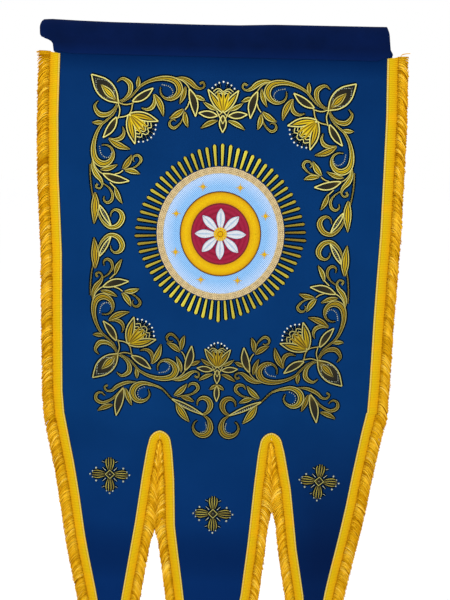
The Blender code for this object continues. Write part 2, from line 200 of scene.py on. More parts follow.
# %% The cloth's edges and how it hangs
OUTER_LEFT = [
    (-0.060, -0.3165), (-0.175, -0.3210), (-0.290, -0.3215), (-0.440, -0.3155),
    (-0.720, -0.3163), (-0.765, -0.3130), (-0.870, -0.2940), (-1.030, -0.2700),
    (-1.165, -0.2470), (-1.385, -0.2130),
]
OUTER_RIGHT = [
    (-0.048, 0.3180), (-0.160, 0.3225), (-0.385, 0.3245), (-0.560, 0.3215),
    (-0.690, 0.3205), (-0.745, 0.3190), (-0.790, 0.3110), (-0.940, 0.2895),
    (-1.145, 0.2545), (-1.385, 0.2225),
]
LEFT_SLIT_OUTER = [
    (-0.820, -0.1200), (-0.900, -0.1325), (-1.000, -0.1455), (-1.165, -0.1720), (-1.385, -0.2030),
]
LEFT_SLIT_INNER = [
    (-0.820, -0.0940), (-0.900, -0.0875), (-1.000, -0.0838), (-1.165, -0.0630), (-1.570, 0.0050),
]
RIGHT_SLIT_INNER = [
    (-0.817, 0.1065), (-0.915, 0.0980), (-1.040, 0.0888), (-1.150, 0.0790), (-1.570, 0.0150),
]
RIGHT_SLIT_OUTER = [
    (-0.817, 0.1325), (-0.915, 0.1525), (-1.045, 0.1695), (-1.150, 0.1885), (-1.385, 0.2125),
]
SLEEVE_FOOT = [(-0.343, -0.0562), (-0.304, -0.0575), (-0.284, -0.0602), (0.290, -0.0598), (0.318, -0.0490)]
SIDE_CORNER = -0.745         # where the straight sides turn in to the side tails
LEFT_SLIT_TOP, RIGHT_SLIT_TOP = -0.820, -0.817
SIDE_TIP, MIDDLE_TIP = -1.385, -1.570
SLIT_RADIUS = 0.013
TIP_RADIUS = 0.005
CLOTH_THICKNESS = 0.0015
CLEARANCE = 0.0003


def read(table, at):
    """The second column of a table at values of its first column."""
    rows = np.array(sorted(table))
    return np.interp(at, rows[:, 0], rows[:, 1])


def smooth_step(share):
    share = np.clip(share, 0, 1)
    return share * share * (3 - 2 * share)


def sway(x, z):
    """How far back the middle of the cloth's thickness hangs."""
    body = 0.0018 * np.sin(math.tau * (z + 0.35 * x) / 0.52) * smooth_step((-0.060 - z) / 0.120)
    depth = smooth_step((-0.72 - z) / 0.300)
    tail = -0.0036 * depth * np.sin(math.tau * (z + 1.085 - 0.10 * x) / 0.27)
    turn = np.where(x > 0, 0.006, 0.003)
    turned = turn * depth * (np.maximum(np.abs(x) - 0.100, 0) / 0.200) ** 2
    return body * (1 - depth) + tail + turned


def set_points(thing, points):
    thing.data.vertices.foreach_set("co", np.ascontiguousarray(points, dtype=np.float32).ravel())
    thing.data.update()


def points_of(thing):
    points = np.zeros(len(thing.data.vertices) * 3, dtype=np.float32)
    thing.data.vertices.foreach_get("co", points)
    return points.reshape(-1, 3).astype(float)


# %% [markdown]
# The cloth is one panel with two slits and three tails. It could be drawn as an outline and filled,
# but then its faces would be long slivers that fold badly. A grid is used instead: five groups of
# columns stand for tail, slit, tail, slit and tail, the slits' faces are deleted, and each point is
# then moved to where the tables put it. Solidify gives the backed cloth its 1.5 mm.

# %% Blue cloth: the panel
TAIL_COLUMNS, SLIT_COLUMNS, MIDDLE_COLUMNS = 14, 6, 18
GROUPS = np.cumsum([0, TAIL_COLUMNS, SLIT_COLUMNS, MIDDLE_COLUMNS, SLIT_COLUMNS, TAIL_COLUMNS])
BODY_ROWS, TAIL_ROWS = 66, 54
TUCKED_IN = 0.0012           # of the cloth's top edge, inside the foot of the sleeve
ARC_FADE = 6                 # rows over which the slits' round tops die out upwards

bpy.ops.object.select_all(action="DESELECT")
bpy.ops.mesh.primitive_grid_add(x_subdivisions=int(GROUPS[-1]), y_subdivisions=BODY_ROWS + TAIL_ROWS, size=1)
cloth = bpy.context.object
cloth.name = "blue_cloth_panel"
bpy.ops.object.mode_set(mode="EDIT")
bpy.ops.mesh.select_mode(type="FACE")
bpy.ops.mesh.select_all(action="DESELECT")
flat = bmesh.from_edit_mesh(cloth.data)
for face in flat.faces:
    middle = face.calc_center_median()
    column = (middle.x + 0.5) * GROUPS[-1]
    row = (0.5 - middle.y) * (BODY_ROWS + TAIL_ROWS)
    over_slit = GROUPS[1] < column < GROUPS[2] or GROUPS[3] < column < GROUPS[4]
    face.select_set(bool(over_slit and row > BODY_ROWS))
bmesh.update_edit_mesh(cloth.data)
bpy.ops.mesh.delete(type="FACE")
bpy.ops.object.mode_set(mode="OBJECT")

places = points_of(cloth)
column = np.rint((places[:, 0] + 0.5) * GROUPS[-1]).astype(int)
row = np.rint((0.5 - places[:, 1]) * (BODY_ROWS + TAIL_ROWS)).astype(int)
in_slit = ((column > GROUPS[1]) & (column < GROUPS[2])) | ((column > GROUPS[3]) & (column < GROUPS[4]))
across = column / GROUPS[-1]
slit_top = LEFT_SLIT_TOP + (RIGHT_SLIT_TOP - LEFT_SLIT_TOP) * across
arc_turn = np.where(column < 29, (column - GROUPS[1]) / SLIT_COLUMNS, (column - GROUPS[3]) / SLIT_COLUMNS)
arc = np.where(in_slit, SLIT_RADIUS * np.sin(math.pi * arc_turn), 0)
EDGES = [OUTER_LEFT, LEFT_SLIT_OUTER, LEFT_SLIT_INNER, RIGHT_SLIT_INNER, RIGHT_SLIT_OUTER, OUTER_RIGHT]


def cloth_x(column, z):
    """Where a column of the cloth stands at a height."""
    edges = np.array([read(edge, z) for edge in EDGES])
    group = np.clip(np.searchsorted(GROUPS, column, side="right") - 1, 0, 4)
    share = (column - GROUPS[group]) / np.diff(GROUPS)[group]
    every = np.arange(len(column))
    return edges[group, every] * (1 - share) + edges[group + 1, every] * share


head = read(SLEEVE_FOOT, cloth_x(column, np.full(len(column), -0.060))) + TUCKED_IN
share = np.minimum(row / BODY_ROWS, 1)
z = head + (slit_top - head) * share
z += arc * np.clip(1 - (BODY_ROWS - row) / ARC_FADE, 0, 1)
tail = np.searchsorted(GROUPS, column, side="left")      # 0 or 1 left, 3 middle, 5 right
end = np.where((column >= GROUPS[2]) & (column <= GROUPS[3]), MIDDLE_TIP, SIDE_TIP) + TIP_RADIUS
down = np.clip((row - BODY_ROWS) / (TAIL_ROWS - 1), 0, 1)
z = np.where(row > BODY_ROWS, slit_top + (end - slit_top) * down, z)
x = cloth_x(column, z)
bent = in_slit & (row > BODY_ROWS - ARC_FADE)
arc_x = np.where(column < 29, -0.107, 0.1195) - SLIT_RADIUS * np.cos(math.pi * arc_turn)
fade = np.clip(1 - (BODY_ROWS - row) / ARC_FADE, 0, 1)
x = np.where(bent, x * (1 - fade) + arc_x * fade, x)

starts = np.where(column <= GROUPS[1], GROUPS[0], np.where(column <= GROUPS[3], GROUPS[2], GROUPS[4]))
widths = np.where(column <= GROUPS[1], TAIL_COLUMNS, np.where(column <= GROUPS[3], MIDDLE_COLUMNS, TAIL_COLUMNS))
tip_turn = math.pi * (0.05 + 0.90 * (column - starts) / widths)
tip_middle = np.where(column <= GROUPS[1], -0.208, np.where(column <= GROUPS[3], 0.010, 0.2175))
last = row == BODY_ROWS + TAIL_ROWS
x = np.where(last, tip_middle - TIP_RADIUS * np.cos(tip_turn), x)
z = np.where(last, end - TIP_RADIUS * np.sin(tip_turn), z)
set_points(cloth, np.stack((x, sway(x, z), z), 1))

only(cloth)
wall = cloth.modifiers.new("thickness", "SOLIDIFY")
wall.thickness = CLOTH_THICKNESS
wall.offset = 0
bpy.ops.object.modifier_apply(modifier="thickness")
bpy.ops.object.shade_smooth_by_angle(angle=math.radians(50))
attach(cloth, "root")
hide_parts("banner_cloth")
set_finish(cloth, "blue_cloth")
print("cloth faces:", len(cloth.data.polygons))

# %% [markdown]
# Two effects are wanted in more than one finish, so each is a node group. "plain_weave" crosses two
# sets of fine waves, as warp and weft cross on a loom. "thread_lines" draws threads side by side
# along a length that a piece carries in its own attribute, so the threads follow the piece round
# every curve. Groups give out only numbers and colours, and each material keeps its own shader.

# %% Node groups: weave and thread lines
def group(name, inputs, outputs):
    """An empty node group with named inputs and outputs."""
    made = bpy.data.node_groups.new(name, "ShaderNodeTree")
    for title, value in inputs:
        made.interface.new_socket(title, in_out="INPUT", socket_type="NodeSocketFloat").default_value = value
    for title in outputs:
        made.interface.new_socket(title, in_out="OUTPUT", socket_type="NodeSocketFloat")
    return made, made.nodes.new("NodeGroupInput").outputs, made.nodes.new("NodeGroupOutput").inputs


def maths(tree, how, *inputs):
    return node(tree, "Math", *inputs, operation=how).outputs[0]


weave, given, result = group("plain_weave", [("Threads", 1600.0), ("Mottle", 6.0)], ["Height", "Mottling"])
place = node(weave, "TexCoord").outputs["Object"]
parts = node(weave, "SeparateXYZ", place)
warp = maths(weave, "SINE", maths(weave, "MULTIPLY", parts.outputs[0], given["Threads"]))
weft = maths(weave, "SINE", maths(weave, "MULTIPLY", parts.outputs[2], given["Threads"]))
weave.links.new(maths(weave, "MULTIPLY_ADD", warp, weft, 0.5), result["Height"])
cloud = node(weave, "TexNoise", place, None, given["Mottle"], 4.0)
weave.links.new(cloud.outputs[0], result["Mottling"])

threads, given, result = group(
    "thread_lines", [("Pitch", 0.00045), ("Slant", 0.0004)], ["Ridge", "Across", "Share", "Tone", "Unevenness"]
)
stitch = node(threads, "Attribute", attribute_name="stitch")
parts = node(threads, "SeparateXYZ", stitch.outputs["Vector"])
side = maths(threads, "ABSOLUTE", parts.outputs[1])
leaning = maths(threads, "MULTIPLY_ADD", side, given["Slant"], parts.outputs[0])
turns = maths(threads, "MULTIPLY", maths(threads, "DIVIDE", leaning, given["Pitch"]), math.tau)
ridge = maths(threads, "MULTIPLY_ADD", maths(threads, "SINE", turns), 0.5, 0.5)
place = node(threads, "TexCoord").outputs["Object"]
cloud = node(threads, "TexNoise", place, None, 420.0, 2.0)
for title, value in (
    ("Ridge", ridge),
    ("Across", side),
    ("Share", parts.outputs[2]),
    ("Tone", node(threads, "Attribute", attribute_name="tone").outputs["Fac"]),
    ("Unevenness", cloud.outputs[0]),
):
    threads.links.new(value, result[title])
print("groups:", weave.name, threads.name)


def use(tree, shared, **values):
    """Places a node group in a material with its own values."""
    made = tree.nodes.new("ShaderNodeGroup")
    made.node_tree = shared
    for title, value in values.items():
        made.inputs[title].default_value = value
    return made.outputs


def ramp(tree, at, stops):
    """Colours along a value, as (value, colour) pairs."""
    made = node(tree, "ValToRGB", at)
    bar = made.color_ramp.elements
    while len(bar) < len(stops):
        bar.new(1.0)
    for mark, (value, colour) in zip(bar, stops):
        mark.position, mark.color = value, colour
    return made.outputs[0]


def finish_with(made, colour, height=None, depth=0.0003, strength=1.0):
    """Joins a colour and a bump height to the material's own shader."""
    tree = made.node_tree
    shader = tree.nodes["Principled BSDF"]
    tree.links.new(colour, shader.inputs["Base Color"])
    if height is not None:
        bump = node(tree, "Bump")
        bump.inputs["Strength"].default_value = strength
        bump.inputs["Distance"].default_value = depth
        tree.links.new(height, bump.inputs["Height"])
        tree.links.new(bump.outputs[0], shader.inputs["Normal"])
    return made


# %% [markdown]
# The real cloth is a fine dense blue weave with a soft sheen. It looks deeper in the tails, where it
# turns away from the light in shallow waves, and deepest in the right tail. The finish is a weave bump,
# a cloudy mottle, and painted shade under the sleeve, down the tails, on the waves and at the right tail.

# %% Blue cloth: the finish
blue_weave = material("blue_weave", 0.72, Sheen_Weight=0.008, Sheen_Roughness=0.4, Specular_IOR_Level=0.0)
tree = blue_weave.node_tree
woven = use(tree, weave, Threads=7000.0, Mottle=9.0)
parts = node(tree, "SeparateXYZ", node(tree, "TexCoord").outputs["Object"])
# painted shade: darker down the tails, and darker near the top and just under the sleeve
depth = node(tree, "MapRange", parts.outputs[2], -0.75, -1.15, 0.0, 1.0)
painted_shade_under_sleeve = node(tree, "MapRange", parts.outputs[2], -0.095, -0.060, 0.0, 0.65)
painted_shade_near_top = node(tree, "MapRange", parts.outputs[2], -0.30, -0.10, 0.0, 0.3)
base = blend(tree, woven["Mottling"], rgb(5, 40, 84), rgb(9, 50, 100))
base = blend(tree, painted_shade_near_top.outputs[0], base, rgb(6, 26, 66))
base = blend(tree, painted_shade_under_sleeve.outputs[0], base, rgb(2, 20, 58))
base = blend(tree, maths(tree, "MULTIPLY", depth.outputs[0], 0.6), base, rgb(5, 28, 78))
# painted shade on the tails' waves, where they face downwards
fold = maths(tree, "SINE", maths(tree, "MULTIPLY", maths(tree, "ADD", parts.outputs[2], 1.1275), math.tau / 0.27))
painted_fold_shade = maths(tree, "MULTIPLY", node(tree, "MapRange", fold, 0.0, 1.0, 0.0, 0.42).outputs[0], depth.outputs[0])
base = blend(tree, painted_fold_shade, base, rgb(3, 16, 52))
# painted shade on the right tail, which turns away from the light
turned = node(tree, "MapRange", parts.outputs[0], 0.09, 0.22, 0.0, 0.55)
painted_shade_right_tail = maths(tree, "MULTIPLY", turned.outputs[0], node(tree, "MapRange", parts.outputs[2], -0.74, -1.00, 0.0, 1.0).outputs[0])
base = blend(tree, painted_shade_right_tail, base, rgb(5, 14, 44))
finish_with(blue_weave, base, woven["Height"], 0.00012, 0.6)
cloth.data.materials.append(blue_weave)
print("finish:", blue_weave.name)

# %% [markdown]
# The sleeve is a folded band of dark napped cloth, open at both ends for the rod. It could be bent
# from a flat strip, but a grid rolled round the sleeve's section is quicker: its first and last
# columns meet at the top fold and are merged, and Solidify then gives the wall its 2 mm inwards.

# %% Rod sleeve
SLEEVE_SECTION = [           # share of the height from the top, half of the depth
    (0.000, 0.0000), (0.008, 0.0034), (0.05, 0.0076), (0.17, 0.0118), (0.32, 0.0132),
    (0.50, 0.0120), (0.70, 0.0084), (0.87, 0.0048), (1.00, 0.0024),
]
SLEEVE_LEFT_END = [
    (0.00, -0.3348), (0.10, -0.3390), (0.24, -0.3412), (0.50, -0.3412), (0.58, -0.3385),
    (0.63, -0.3290), (0.68, -0.3225), (0.76, -0.3187), (1.00, -0.3180),
]
SLEEVE_RIGHT_END = [(0.00, 0.3040), (0.25, 0.3085), (0.50, 0.3105), (0.80, 0.3135), (0.92, 0.3175), (1.00, 0.3190)]
SLEEVE_TOP = [
    (-0.343, 0.0000), (-0.322, 0.0016), (-0.270, 0.0000), (-0.210, -0.0012), (-0.045, -0.0018),
    (0.030, -0.0013), (0.096, 0.0014), (0.190, 0.0018), (0.280, 0.0022), (0.318, 0.0026),
]
SLEEVE_WALL = 0.0020
PUCKER, PUCKERS_PER_METRE = 0.05, 4.9
ALONG_STEPS, ROUND_STEPS = 90, 44

bpy.ops.object.select_all(action="DESELECT")
bpy.ops.mesh.primitive_grid_add(x_subdivisions=ALONG_STEPS, y_subdivisions=ROUND_STEPS, size=1)
sleeve = bpy.context.object
sleeve.name = "rod_sleeve"
places = points_of(sleeve)
round_share = 0.5 - places[:, 1]                  # 0 to 1, down the front and up the back
down = 1 - np.abs(1 - 2 * round_share)
down = 0.5 - 0.5 * np.cos(math.pi * down)         # more columns at the folds
side = np.where(round_share < 0.5, -1, 1)
left, right_end = read(SLEEVE_LEFT_END, down), read(SLEEVE_RIGHT_END, down)
x = left + (right_end - left) * (places[:, 0] + 0.5)
top, foot = read(SLEEVE_TOP, x), read(SLEEVE_FOOT, x)
fullness = 1 + PUCKER * np.sin(math.tau * PUCKERS_PER_METRE * x)
y = side * read(SLEEVE_SECTION, down) * fullness
set_points(sleeve, np.stack((x, y, top + (foot - top) * down), 1))

only(sleeve)
bpy.ops.object.mode_set(mode="EDIT")
bpy.ops.mesh.select_all(action="SELECT")
bpy.ops.mesh.remove_doubles(threshold=0.00001)
bpy.ops.mesh.normals_make_consistent(inside=False)
bpy.ops.object.mode_set(mode="OBJECT")
wall = sleeve.modifiers.new("wall", "SOLIDIFY")
wall.thickness = SLEEVE_WALL
wall.offset = -1
bpy.ops.object.modifier_apply(modifier="wall")
bpy.ops.object.shade_smooth_by_angle(angle=math.radians(60))
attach(sleeve, "root")
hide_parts("heading_sleeve")
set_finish(sleeve, "dark_cloth")

navy_nap = material("navy_nap", 0.95, Sheen_Weight=0.015, Sheen_Roughness=0.5, Specular_IOR_Level=0.02)
tree = navy_nap.node_tree
place = node(tree, "TexCoord").outputs["Object"]
pile = node(tree, "TexNoise", place, None, 1400.0, 3.0)
brushed = node(tree, "TexNoise", place, None, 22.0, 4.0)
shade = blend(tree, brushed.outputs[0], rgb(2, 13, 42), rgb(5, 22, 64))
# painted light: the lowest band of the sleeve is painted lighter towards its foot
low = node(tree, "MapRange", node(tree, "SeparateXYZ", place).outputs[2], -0.040, -0.058, 0.0, 0.7)
shade = blend(tree, low.outputs[0], shade, rgb(4, 26, 72))
finish_with(navy_nap, shade, pile.outputs[0], 0.0006, 0.8)
sleeve.data.materials.append(navy_nap)
print("sleeve faces:", len(sleeve.data.polygons))

# %% [markdown]
# Braid, cords and satin stitches are all long strips with a set cross-section, so they share one
# maker. A cylinder is modelled once for each number of steps, its long edges cut by Subdivide, and
# every strip is a copy of it with its own mesh, whose points are laid along a line. Each point also
# carries how far along and across the strip it is, for the threads in the finish.

# %% One strip, cut once and copied for each band
LONG_CUT = 20                # a strip of more than 90 steps is cut in this many parts first
strips = {}


def cut_lengthwise(tube, parts):
    """Cuts every long edge of an upright tube into equal parts."""
    only(tube)
    bpy.ops.object.mode_set(mode="EDIT")
    bpy.ops.mesh.select_mode(type="EDGE")
    bpy.ops.mesh.select_all(action="DESELECT")
    shape = bmesh.from_edit_mesh(tube.data)
    for edge in shape.edges:
        edge.select_set(abs(edge.verts[0].co.z - edge.verts[1].co.z) > 1e-5)
    bmesh.update_edit_mesh(tube.data)
    bpy.ops.mesh.subdivide(number_cuts=parts - 1)
    bpy.ops.object.mode_set(mode="OBJECT")


def strip_master(around, steps):
    """The tube that all strips of this many steps are copied from, and the order of its points."""
    if (around, steps) not in strips:
        bpy.ops.object.select_all(action="DESELECT")
        bpy.ops.mesh.primitive_cylinder_add(vertices=around, radius=1, depth=1, location=(0, 0, 0))
        master = bpy.context.object
        for parts in ((steps,) if steps <= 90 else (LONG_CUT, steps // LONG_CUT)):
            cut_lengthwise(master, parts)
        spots = points_of(master)
        step = np.rint((spots[:, 2] + 0.5) * steps).astype(int)
        turn = np.rint(np.arctan2(spots[:, 0], spots[:, 1]) / math.tau * around).astype(int) % around
        strips[around, steps] = master, step * around + turn
    return strips[around, steps]


def lay_strip(points, stitch, tone):
    """A copy of the strip whose points, and stitch values, are given as (step, place round it)."""
    steps, around = points.shape[0] - 1, points.shape[1]
    master, order = strip_master(around, steps)
    strip = master.copy()
    strip.data = master.data.copy()
    bpy.context.scene.collection.objects.link(strip)
    set_points(strip, points.reshape(-1, 3)[order])
    carried = strip.data.attributes.new("stitch", "FLOAT_VECTOR", "POINT")
    carried.data.foreach_set("vector", stitch.reshape(-1, 3)[order].astype(np.float32).ravel())
    toned = strip.data.attributes.new("tone", "FLOAT", "POINT")
    toned.data.foreach_set("value", np.full(len(order), tone, dtype=np.float32))
    return strip


def sew_on(name, strips_made, finish, slot, replaced=()):
    """Joins strips into one finished piece that rides with the banner."""
    bpy.ops.object.select_all(action="DESELECT")
    for strip in strips_made:
        strip.select_set(True)
    bpy.context.view_layer.objects.active = strips_made[0]
    if len(strips_made) > 1:
        bpy.ops.object.join()
    made = bpy.context.object
    made.name = name
    bpy.ops.object.mode_set(mode="EDIT")
    bpy.ops.mesh.select_all(action="SELECT")
    bpy.ops.mesh.normals_make_consistent(inside=False)
    bpy.ops.object.mode_set(mode="OBJECT")
    bpy.ops.object.shade_smooth_by_angle(angle=math.radians(75))
    made.data.materials.clear()
    made.data.materials.append(finish)
    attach(made, "root")
    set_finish(made, slot)
    if replaced:
        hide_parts(*replaced)
    print(name, "faces:", len(made.data.polygons))
    return made


# %% [markdown]
# The fringe is bought by the metre: a flat braid with a pale cord along its inner edge, and twisted
# threads that hang from its outer edge. Here each edge of the cloth becomes a rail, a row of places
# with the direction that leads away from the cloth. The rail also goes round the slits' round tops
# and the tails' ends, and knows how much room there is before the threads of the far side.

# %% Rails for the fringe
BRAID_COVER = 0.0110         # on the cloth, in from its edge
BRAID_PROUD = 0.0112         # past the cloth's edge
RIGHT_PROUD = 0.0026         # more than that down the right side, where the braid lies flatter
RIGHT_BARE = 0.0014          # less of the cloth covered there
RAIL_STEP = 0.0022
SLOPE_STEP = 0.012           # over which an edge's direction is read
CROSSING = 0.0016            # how far threads may pass the line along the middle of their slit
FULL_REACH = 0.0190          # of the threads, straight out from the braid
SLIT_REACH = 0.0200          # the same inside the slits, where both sides meet
PARTED = 0.0062              # how much less below that, where they part
TOP_SLANT = math.radians(9)
NARROWER = 0.14              # share of the cover that the slits lack where their tops begin


def unit(rows):
    return rows / np.linalg.norm(rows, axis=-1, keepdims=True)


def edge_rail(table, high, low, side, half_width, limit):
    """Places, ways out, cover, reach and the braid's outer width down one edge of the cloth."""
    z = np.linspace(high, low, max(3, round((high - low) / RAIL_STEP)))
    bottom, top = min(r[0] for r in table), max(r[0] for r in table)
    above, below = np.minimum(z + SLOPE_STEP, top), np.maximum(z - SLOPE_STEP, bottom)
    along = unit(np.stack((read(table, above) - read(table, below), above - below), 1))
    out = np.stack((along[:, 1], -along[:, 0]), 1) * side
    place = np.stack((read(table, z), z), 1)
    cover = np.minimum(BRAID_COVER, half_width(z) - CLEARANCE)
    reach = np.full(len(z), FULL_REACH)
    if limit is not None:
        room = (limit(z) - place[:, 0]) / out[:, 0] - BRAID_PROUD + CROSSING
        reach = np.minimum(SLIT_REACH, room) - PARTED * smooth_step((room - SLIT_REACH) / 0.0036)
    return np.column_stack((place, out, cover, reach, np.full(len(z), BRAID_PROUD)))


def arc_rail(centre, radius, start, end, inward, cover):
    """The same round a slit's top or a tail's end."""
    turn = np.linspace(start, end, 14)
    out = np.stack((np.cos(turn), np.sin(turn)), 1)
    place = np.array(centre) + out * radius
    reach = np.full(len(turn), FULL_REACH)
    covered = np.full(len(turn), cover)
    proud = np.full(len(turn), BRAID_PROUD)
    if inward:
        out = -out
        covered *= 1 - 0.12 * np.abs(np.sin(2 * turn))       # a slightly pointed arch
        reach = np.where(np.abs(out[:, 0]) < 0.5, FULL_REACH * 0.7, 0.003)
        proud[1:] = radius - 0.0002                           # the braid closes the round top
    return np.column_stack((place, out, covered, reach, proud))


def half_between(left_edge, right_edge):
    return lambda z: (read(right_edge, z) - read(left_edge, z)) / 2


def middle_between(left_edge, right_edge):
    return lambda z: (read(left_edge, z) + read(right_edge, z)) / 2


def wide(z):
    return np.ones(len(z))


left_tail = half_between(OUTER_LEFT, LEFT_SLIT_OUTER)
middle_tail = half_between(LEFT_SLIT_INNER, RIGHT_SLIT_INNER)
right_tail = half_between(RIGHT_SLIT_OUTER, OUTER_RIGHT)
left_gap = middle_between(LEFT_SLIT_OUTER, LEFT_SLIT_INNER)
right_gap = middle_between(RIGHT_SLIT_INNER, RIGHT_SLIT_OUTER)
SEAM = CLEARANCE / 2
RUNS = (                     # name, edge, high and low end, side, half width, limit, slit
    ("left_edge", OUTER_LEFT, -0.059, SIDE_CORNER + SEAM, -1, wide, None, None),
    ("right_edge", OUTER_RIGHT, -0.0535, SIDE_CORNER + SEAM, 1, wide, None, None),
    ("left_tail_outer", OUTER_LEFT, SIDE_CORNER - SEAM, SIDE_TIP, -1, left_tail, None, None),
    ("left_tail_inner", LEFT_SLIT_OUTER, LEFT_SLIT_TOP, SIDE_TIP, 1, left_tail, left_gap, LEFT_SLIT_TOP),
    ("middle_left", LEFT_SLIT_INNER, LEFT_SLIT_TOP, MIDDLE_TIP, -1, middle_tail, left_gap, LEFT_SLIT_TOP),
    ("middle_right", RIGHT_SLIT_INNER, RIGHT_SLIT_TOP, MIDDLE_TIP, 1, middle_tail, right_gap, RIGHT_SLIT_TOP),
    ("right_tail_inner", RIGHT_SLIT_OUTER, RIGHT_SLIT_TOP, SIDE_TIP, -1, right_tail, right_gap, RIGHT_SLIT_TOP),
    ("right_tail_outer", OUTER_RIGHT, SIDE_CORNER - SEAM, SIDE_TIP, 1, right_tail, None, None),
)


def whole_rail(table, high, low, side, half_width, limit, slit):
    """One fringe's rail, evenly spaced, in a number of steps that a strip can have."""
    tip = low in (SIDE_TIP, MIDDLE_TIP)
    end = low + TIP_RADIUS if tip else low
    parts = [edge_rail(table, high, end, side, half_width, limit)]
    if slit is not None:
        start = math.pi / 2 + side * SEAM / SLIT_RADIUS
        centre = (float(limit(slit)), slit)
        top = arc_rail(centre, SLIT_RADIUS, start, math.pi if side > 0 else 0.0, True, BRAID_COVER)
        parts.insert(0, top[:-1])
    if tip:
        half = float(half_width(end))
        centre = (float(read(table, end)) - side * half, end)
        foot = -math.pi / 2 + side * SEAM / half
        arc = arc_rail(centre, half, 0.0 if side > 0 else -math.pi, foot, False, half - 2 * CLEARANCE)
        parts.append(arc[1:])
    rail = np.concatenate(parts)
    length = np.concatenate(([0], np.cumsum(np.linalg.norm(np.diff(rail[:, :2], axis=0), axis=1))))
    if slit is not None:
        rail[:, 4] *= 1 - NARROWER * np.exp(-((length - SLIT_RADIUS * math.pi / 2) / 0.013) ** 2)
    steps = LONG_CUT * max(5, round(length[-1] / RAIL_STEP / LONG_CUT))
    return along_rail(rail, length, np.linspace(0, length[-1], steps + 1)), length[-1]


def along_rail(rail, length, at):
    """A rail read at distances along it."""
    found = np.column_stack([np.interp(at, length, rail[:, i]) for i in range(rail.shape[1])])
    found[:, 2:4] = unit(found[:, 2:4])
    return found


rails = {name: whole_rail(*rest) for name, *rest in RUNS}
easing = np.linspace(1, 0, 10)[:, None]
for name, hand in (("left_edge", -1), ("right_edge", 1)):
    top_out = np.array((hand * math.cos(TOP_SLANT), math.sin(TOP_SLANT)))
    first = rails[name][0][:10, 2:4]
    rails[name][0][:10, 2:4] = unit(top_out * easing + first * (1 - easing))
rails["right_edge"][0][:, 4] -= RIGHT_BARE
rails["right_edge"][0][:, 5] -= RIGHT_PROUD
rails["right_edge"][0][:, 6] += RIGHT_PROUD
print("fringe in all:", round(sum(length for _, length in rails.values()), 2), "m")

# %% [markdown]
# The braid lies flat over the cloth's edge. Its section has the pale cord on the inner side, then a
# flat ribbed band with the sewing line as a faint groove, and a thin outer edge that the threads
# come out of. Two millimetres is all its height, so most of its look is in the ribs of the finish.

# %% Braid
BRAID_SECTION = np.array([   # share of the width from the inner side, height in millimetres
    (0.00, 0.10), (0.03, 1.30), (0.08, 1.85), (0.13, 1.45), (0.16, 1.10), (0.22, 1.25), (0.32, 1.35),
    (0.44, 1.30), (0.48, 1.12), (0.52, 1.30), (0.68, 1.35), (0.82, 1.20), (0.94, 0.90), (1.00, 0.10),
    (0.75, 0.00), (0.25, 0.00),
])


def braid(name, rail, length):
    inner = rail[:, :2] - rail[:, 2:4] * rail[:, 4:5]
    outer = rail[:, :2] + rail[:, 2:4] * rail[:, 6:7]
    share = BRAID_SECTION[:, 0][None, :, None]
    spot = inner[:, None, :] * (1 - share) + outer[:, None, :] * share
    back = -CLOTH_THICKNESS / 2 - CLEARANCE
    at = np.linspace(0, length, len(rail))[:, None]
    ripple = 1 + 0.06 * np.sin(at * 900 + 2 * np.sin(at * 37))
    y = sway(spot[..., 0], spot[..., 1]) + back - BRAID_SECTION[:, 1][None, :] / 1000 * ripple
    points = np.stack((spot[..., 0], y, spot[..., 1]), -1)
    stitch = np.empty_like(points)
    stitch[..., 0] = at
    stitch[..., 1] = BRAID_SECTION[:, 0][None, :]
    stitch[..., 2] = BRAID_SECTION[:, 1][None, :] / 2
    return lay_strip(points, stitch, 0.5)


braid_yellow = material("braid_yellow", 0.55, Specular_IOR_Level=0.0)
tree = braid_yellow.node_tree
lines = use(tree, threads, Pitch=0.0034, Slant=0.0008)
# painted shade: the darker stops at the cord's inner edge and just outside the cord, where the braid dips
body = ramp(tree, lines["Across"], [
    (0.00, rgb(160, 138, 60)), (0.03, rgb(212, 196, 112)), (0.12, rgb(212, 190, 92)), (0.16, rgb(186, 146, 16)),
    (0.24, rgb(206, 178, 22)), (0.50, rgb(206, 170, 18)), (0.75, rgb(206, 158, 16)), (1.00, rgb(200, 144, 12)),
])
# painted shade in the grooves between the ribs; the same darker colour also comes through at random as uneven tone
groove_shade_and_tone = blend(tree, 1.0, body, rgb(214, 196, 150), "MULTIPLY")
body = blend(tree, maths(tree, "MULTIPLY_ADD", lines["Ridge"], 0.8, 0.2), groove_shade_and_tone, body)
body = blend(tree, maths(tree, "MULTIPLY", lines["Unevenness"], 0.45), body, groove_shade_and_tone)
patches = node(tree, "TexNoise", node(tree, "TexCoord").outputs["Object"], None, 34.0, 2.0)
body = blend(tree, ramp(tree, patches.outputs[0], [(0.48, rgb(0, 0, 0)), (0.72, rgb(150, 150, 150))]), body, rgb(222, 150, 12))
finish_with(braid_yellow, body, lines["Ridge"], 0.0004, 0.7)
braids = {}
for name, (rail, length) in rails.items():
    braids[name] = sew_on("braid_" + name, [braid(name, rail, length)], braid_yellow, "gold_fringe", ["fringe_" + name])

# %% [markdown]
# The braid lies over a narrow dark tape, painted shadow where the braid stands on the cloth. It only
# just shows inside the pale cord, as a dark line along the whole fringe.

# %% Painted shadow: tape under the braid
SHADOW_SHOWS = 0.0011
braid_edge_shadow = material("braid_edge_shadow", 0.9, Specular_IOR_Level=0.03)
tree = braid_edge_shadow.node_tree
woven = use(tree, weave, Threads=5200.0, Mottle=60.0)
finish_with(braid_edge_shadow, blend(tree, woven["Mottling"], rgb(6, 18, 40), rgb(10, 28, 58)), woven["Height"], 0.0002, 0.7)


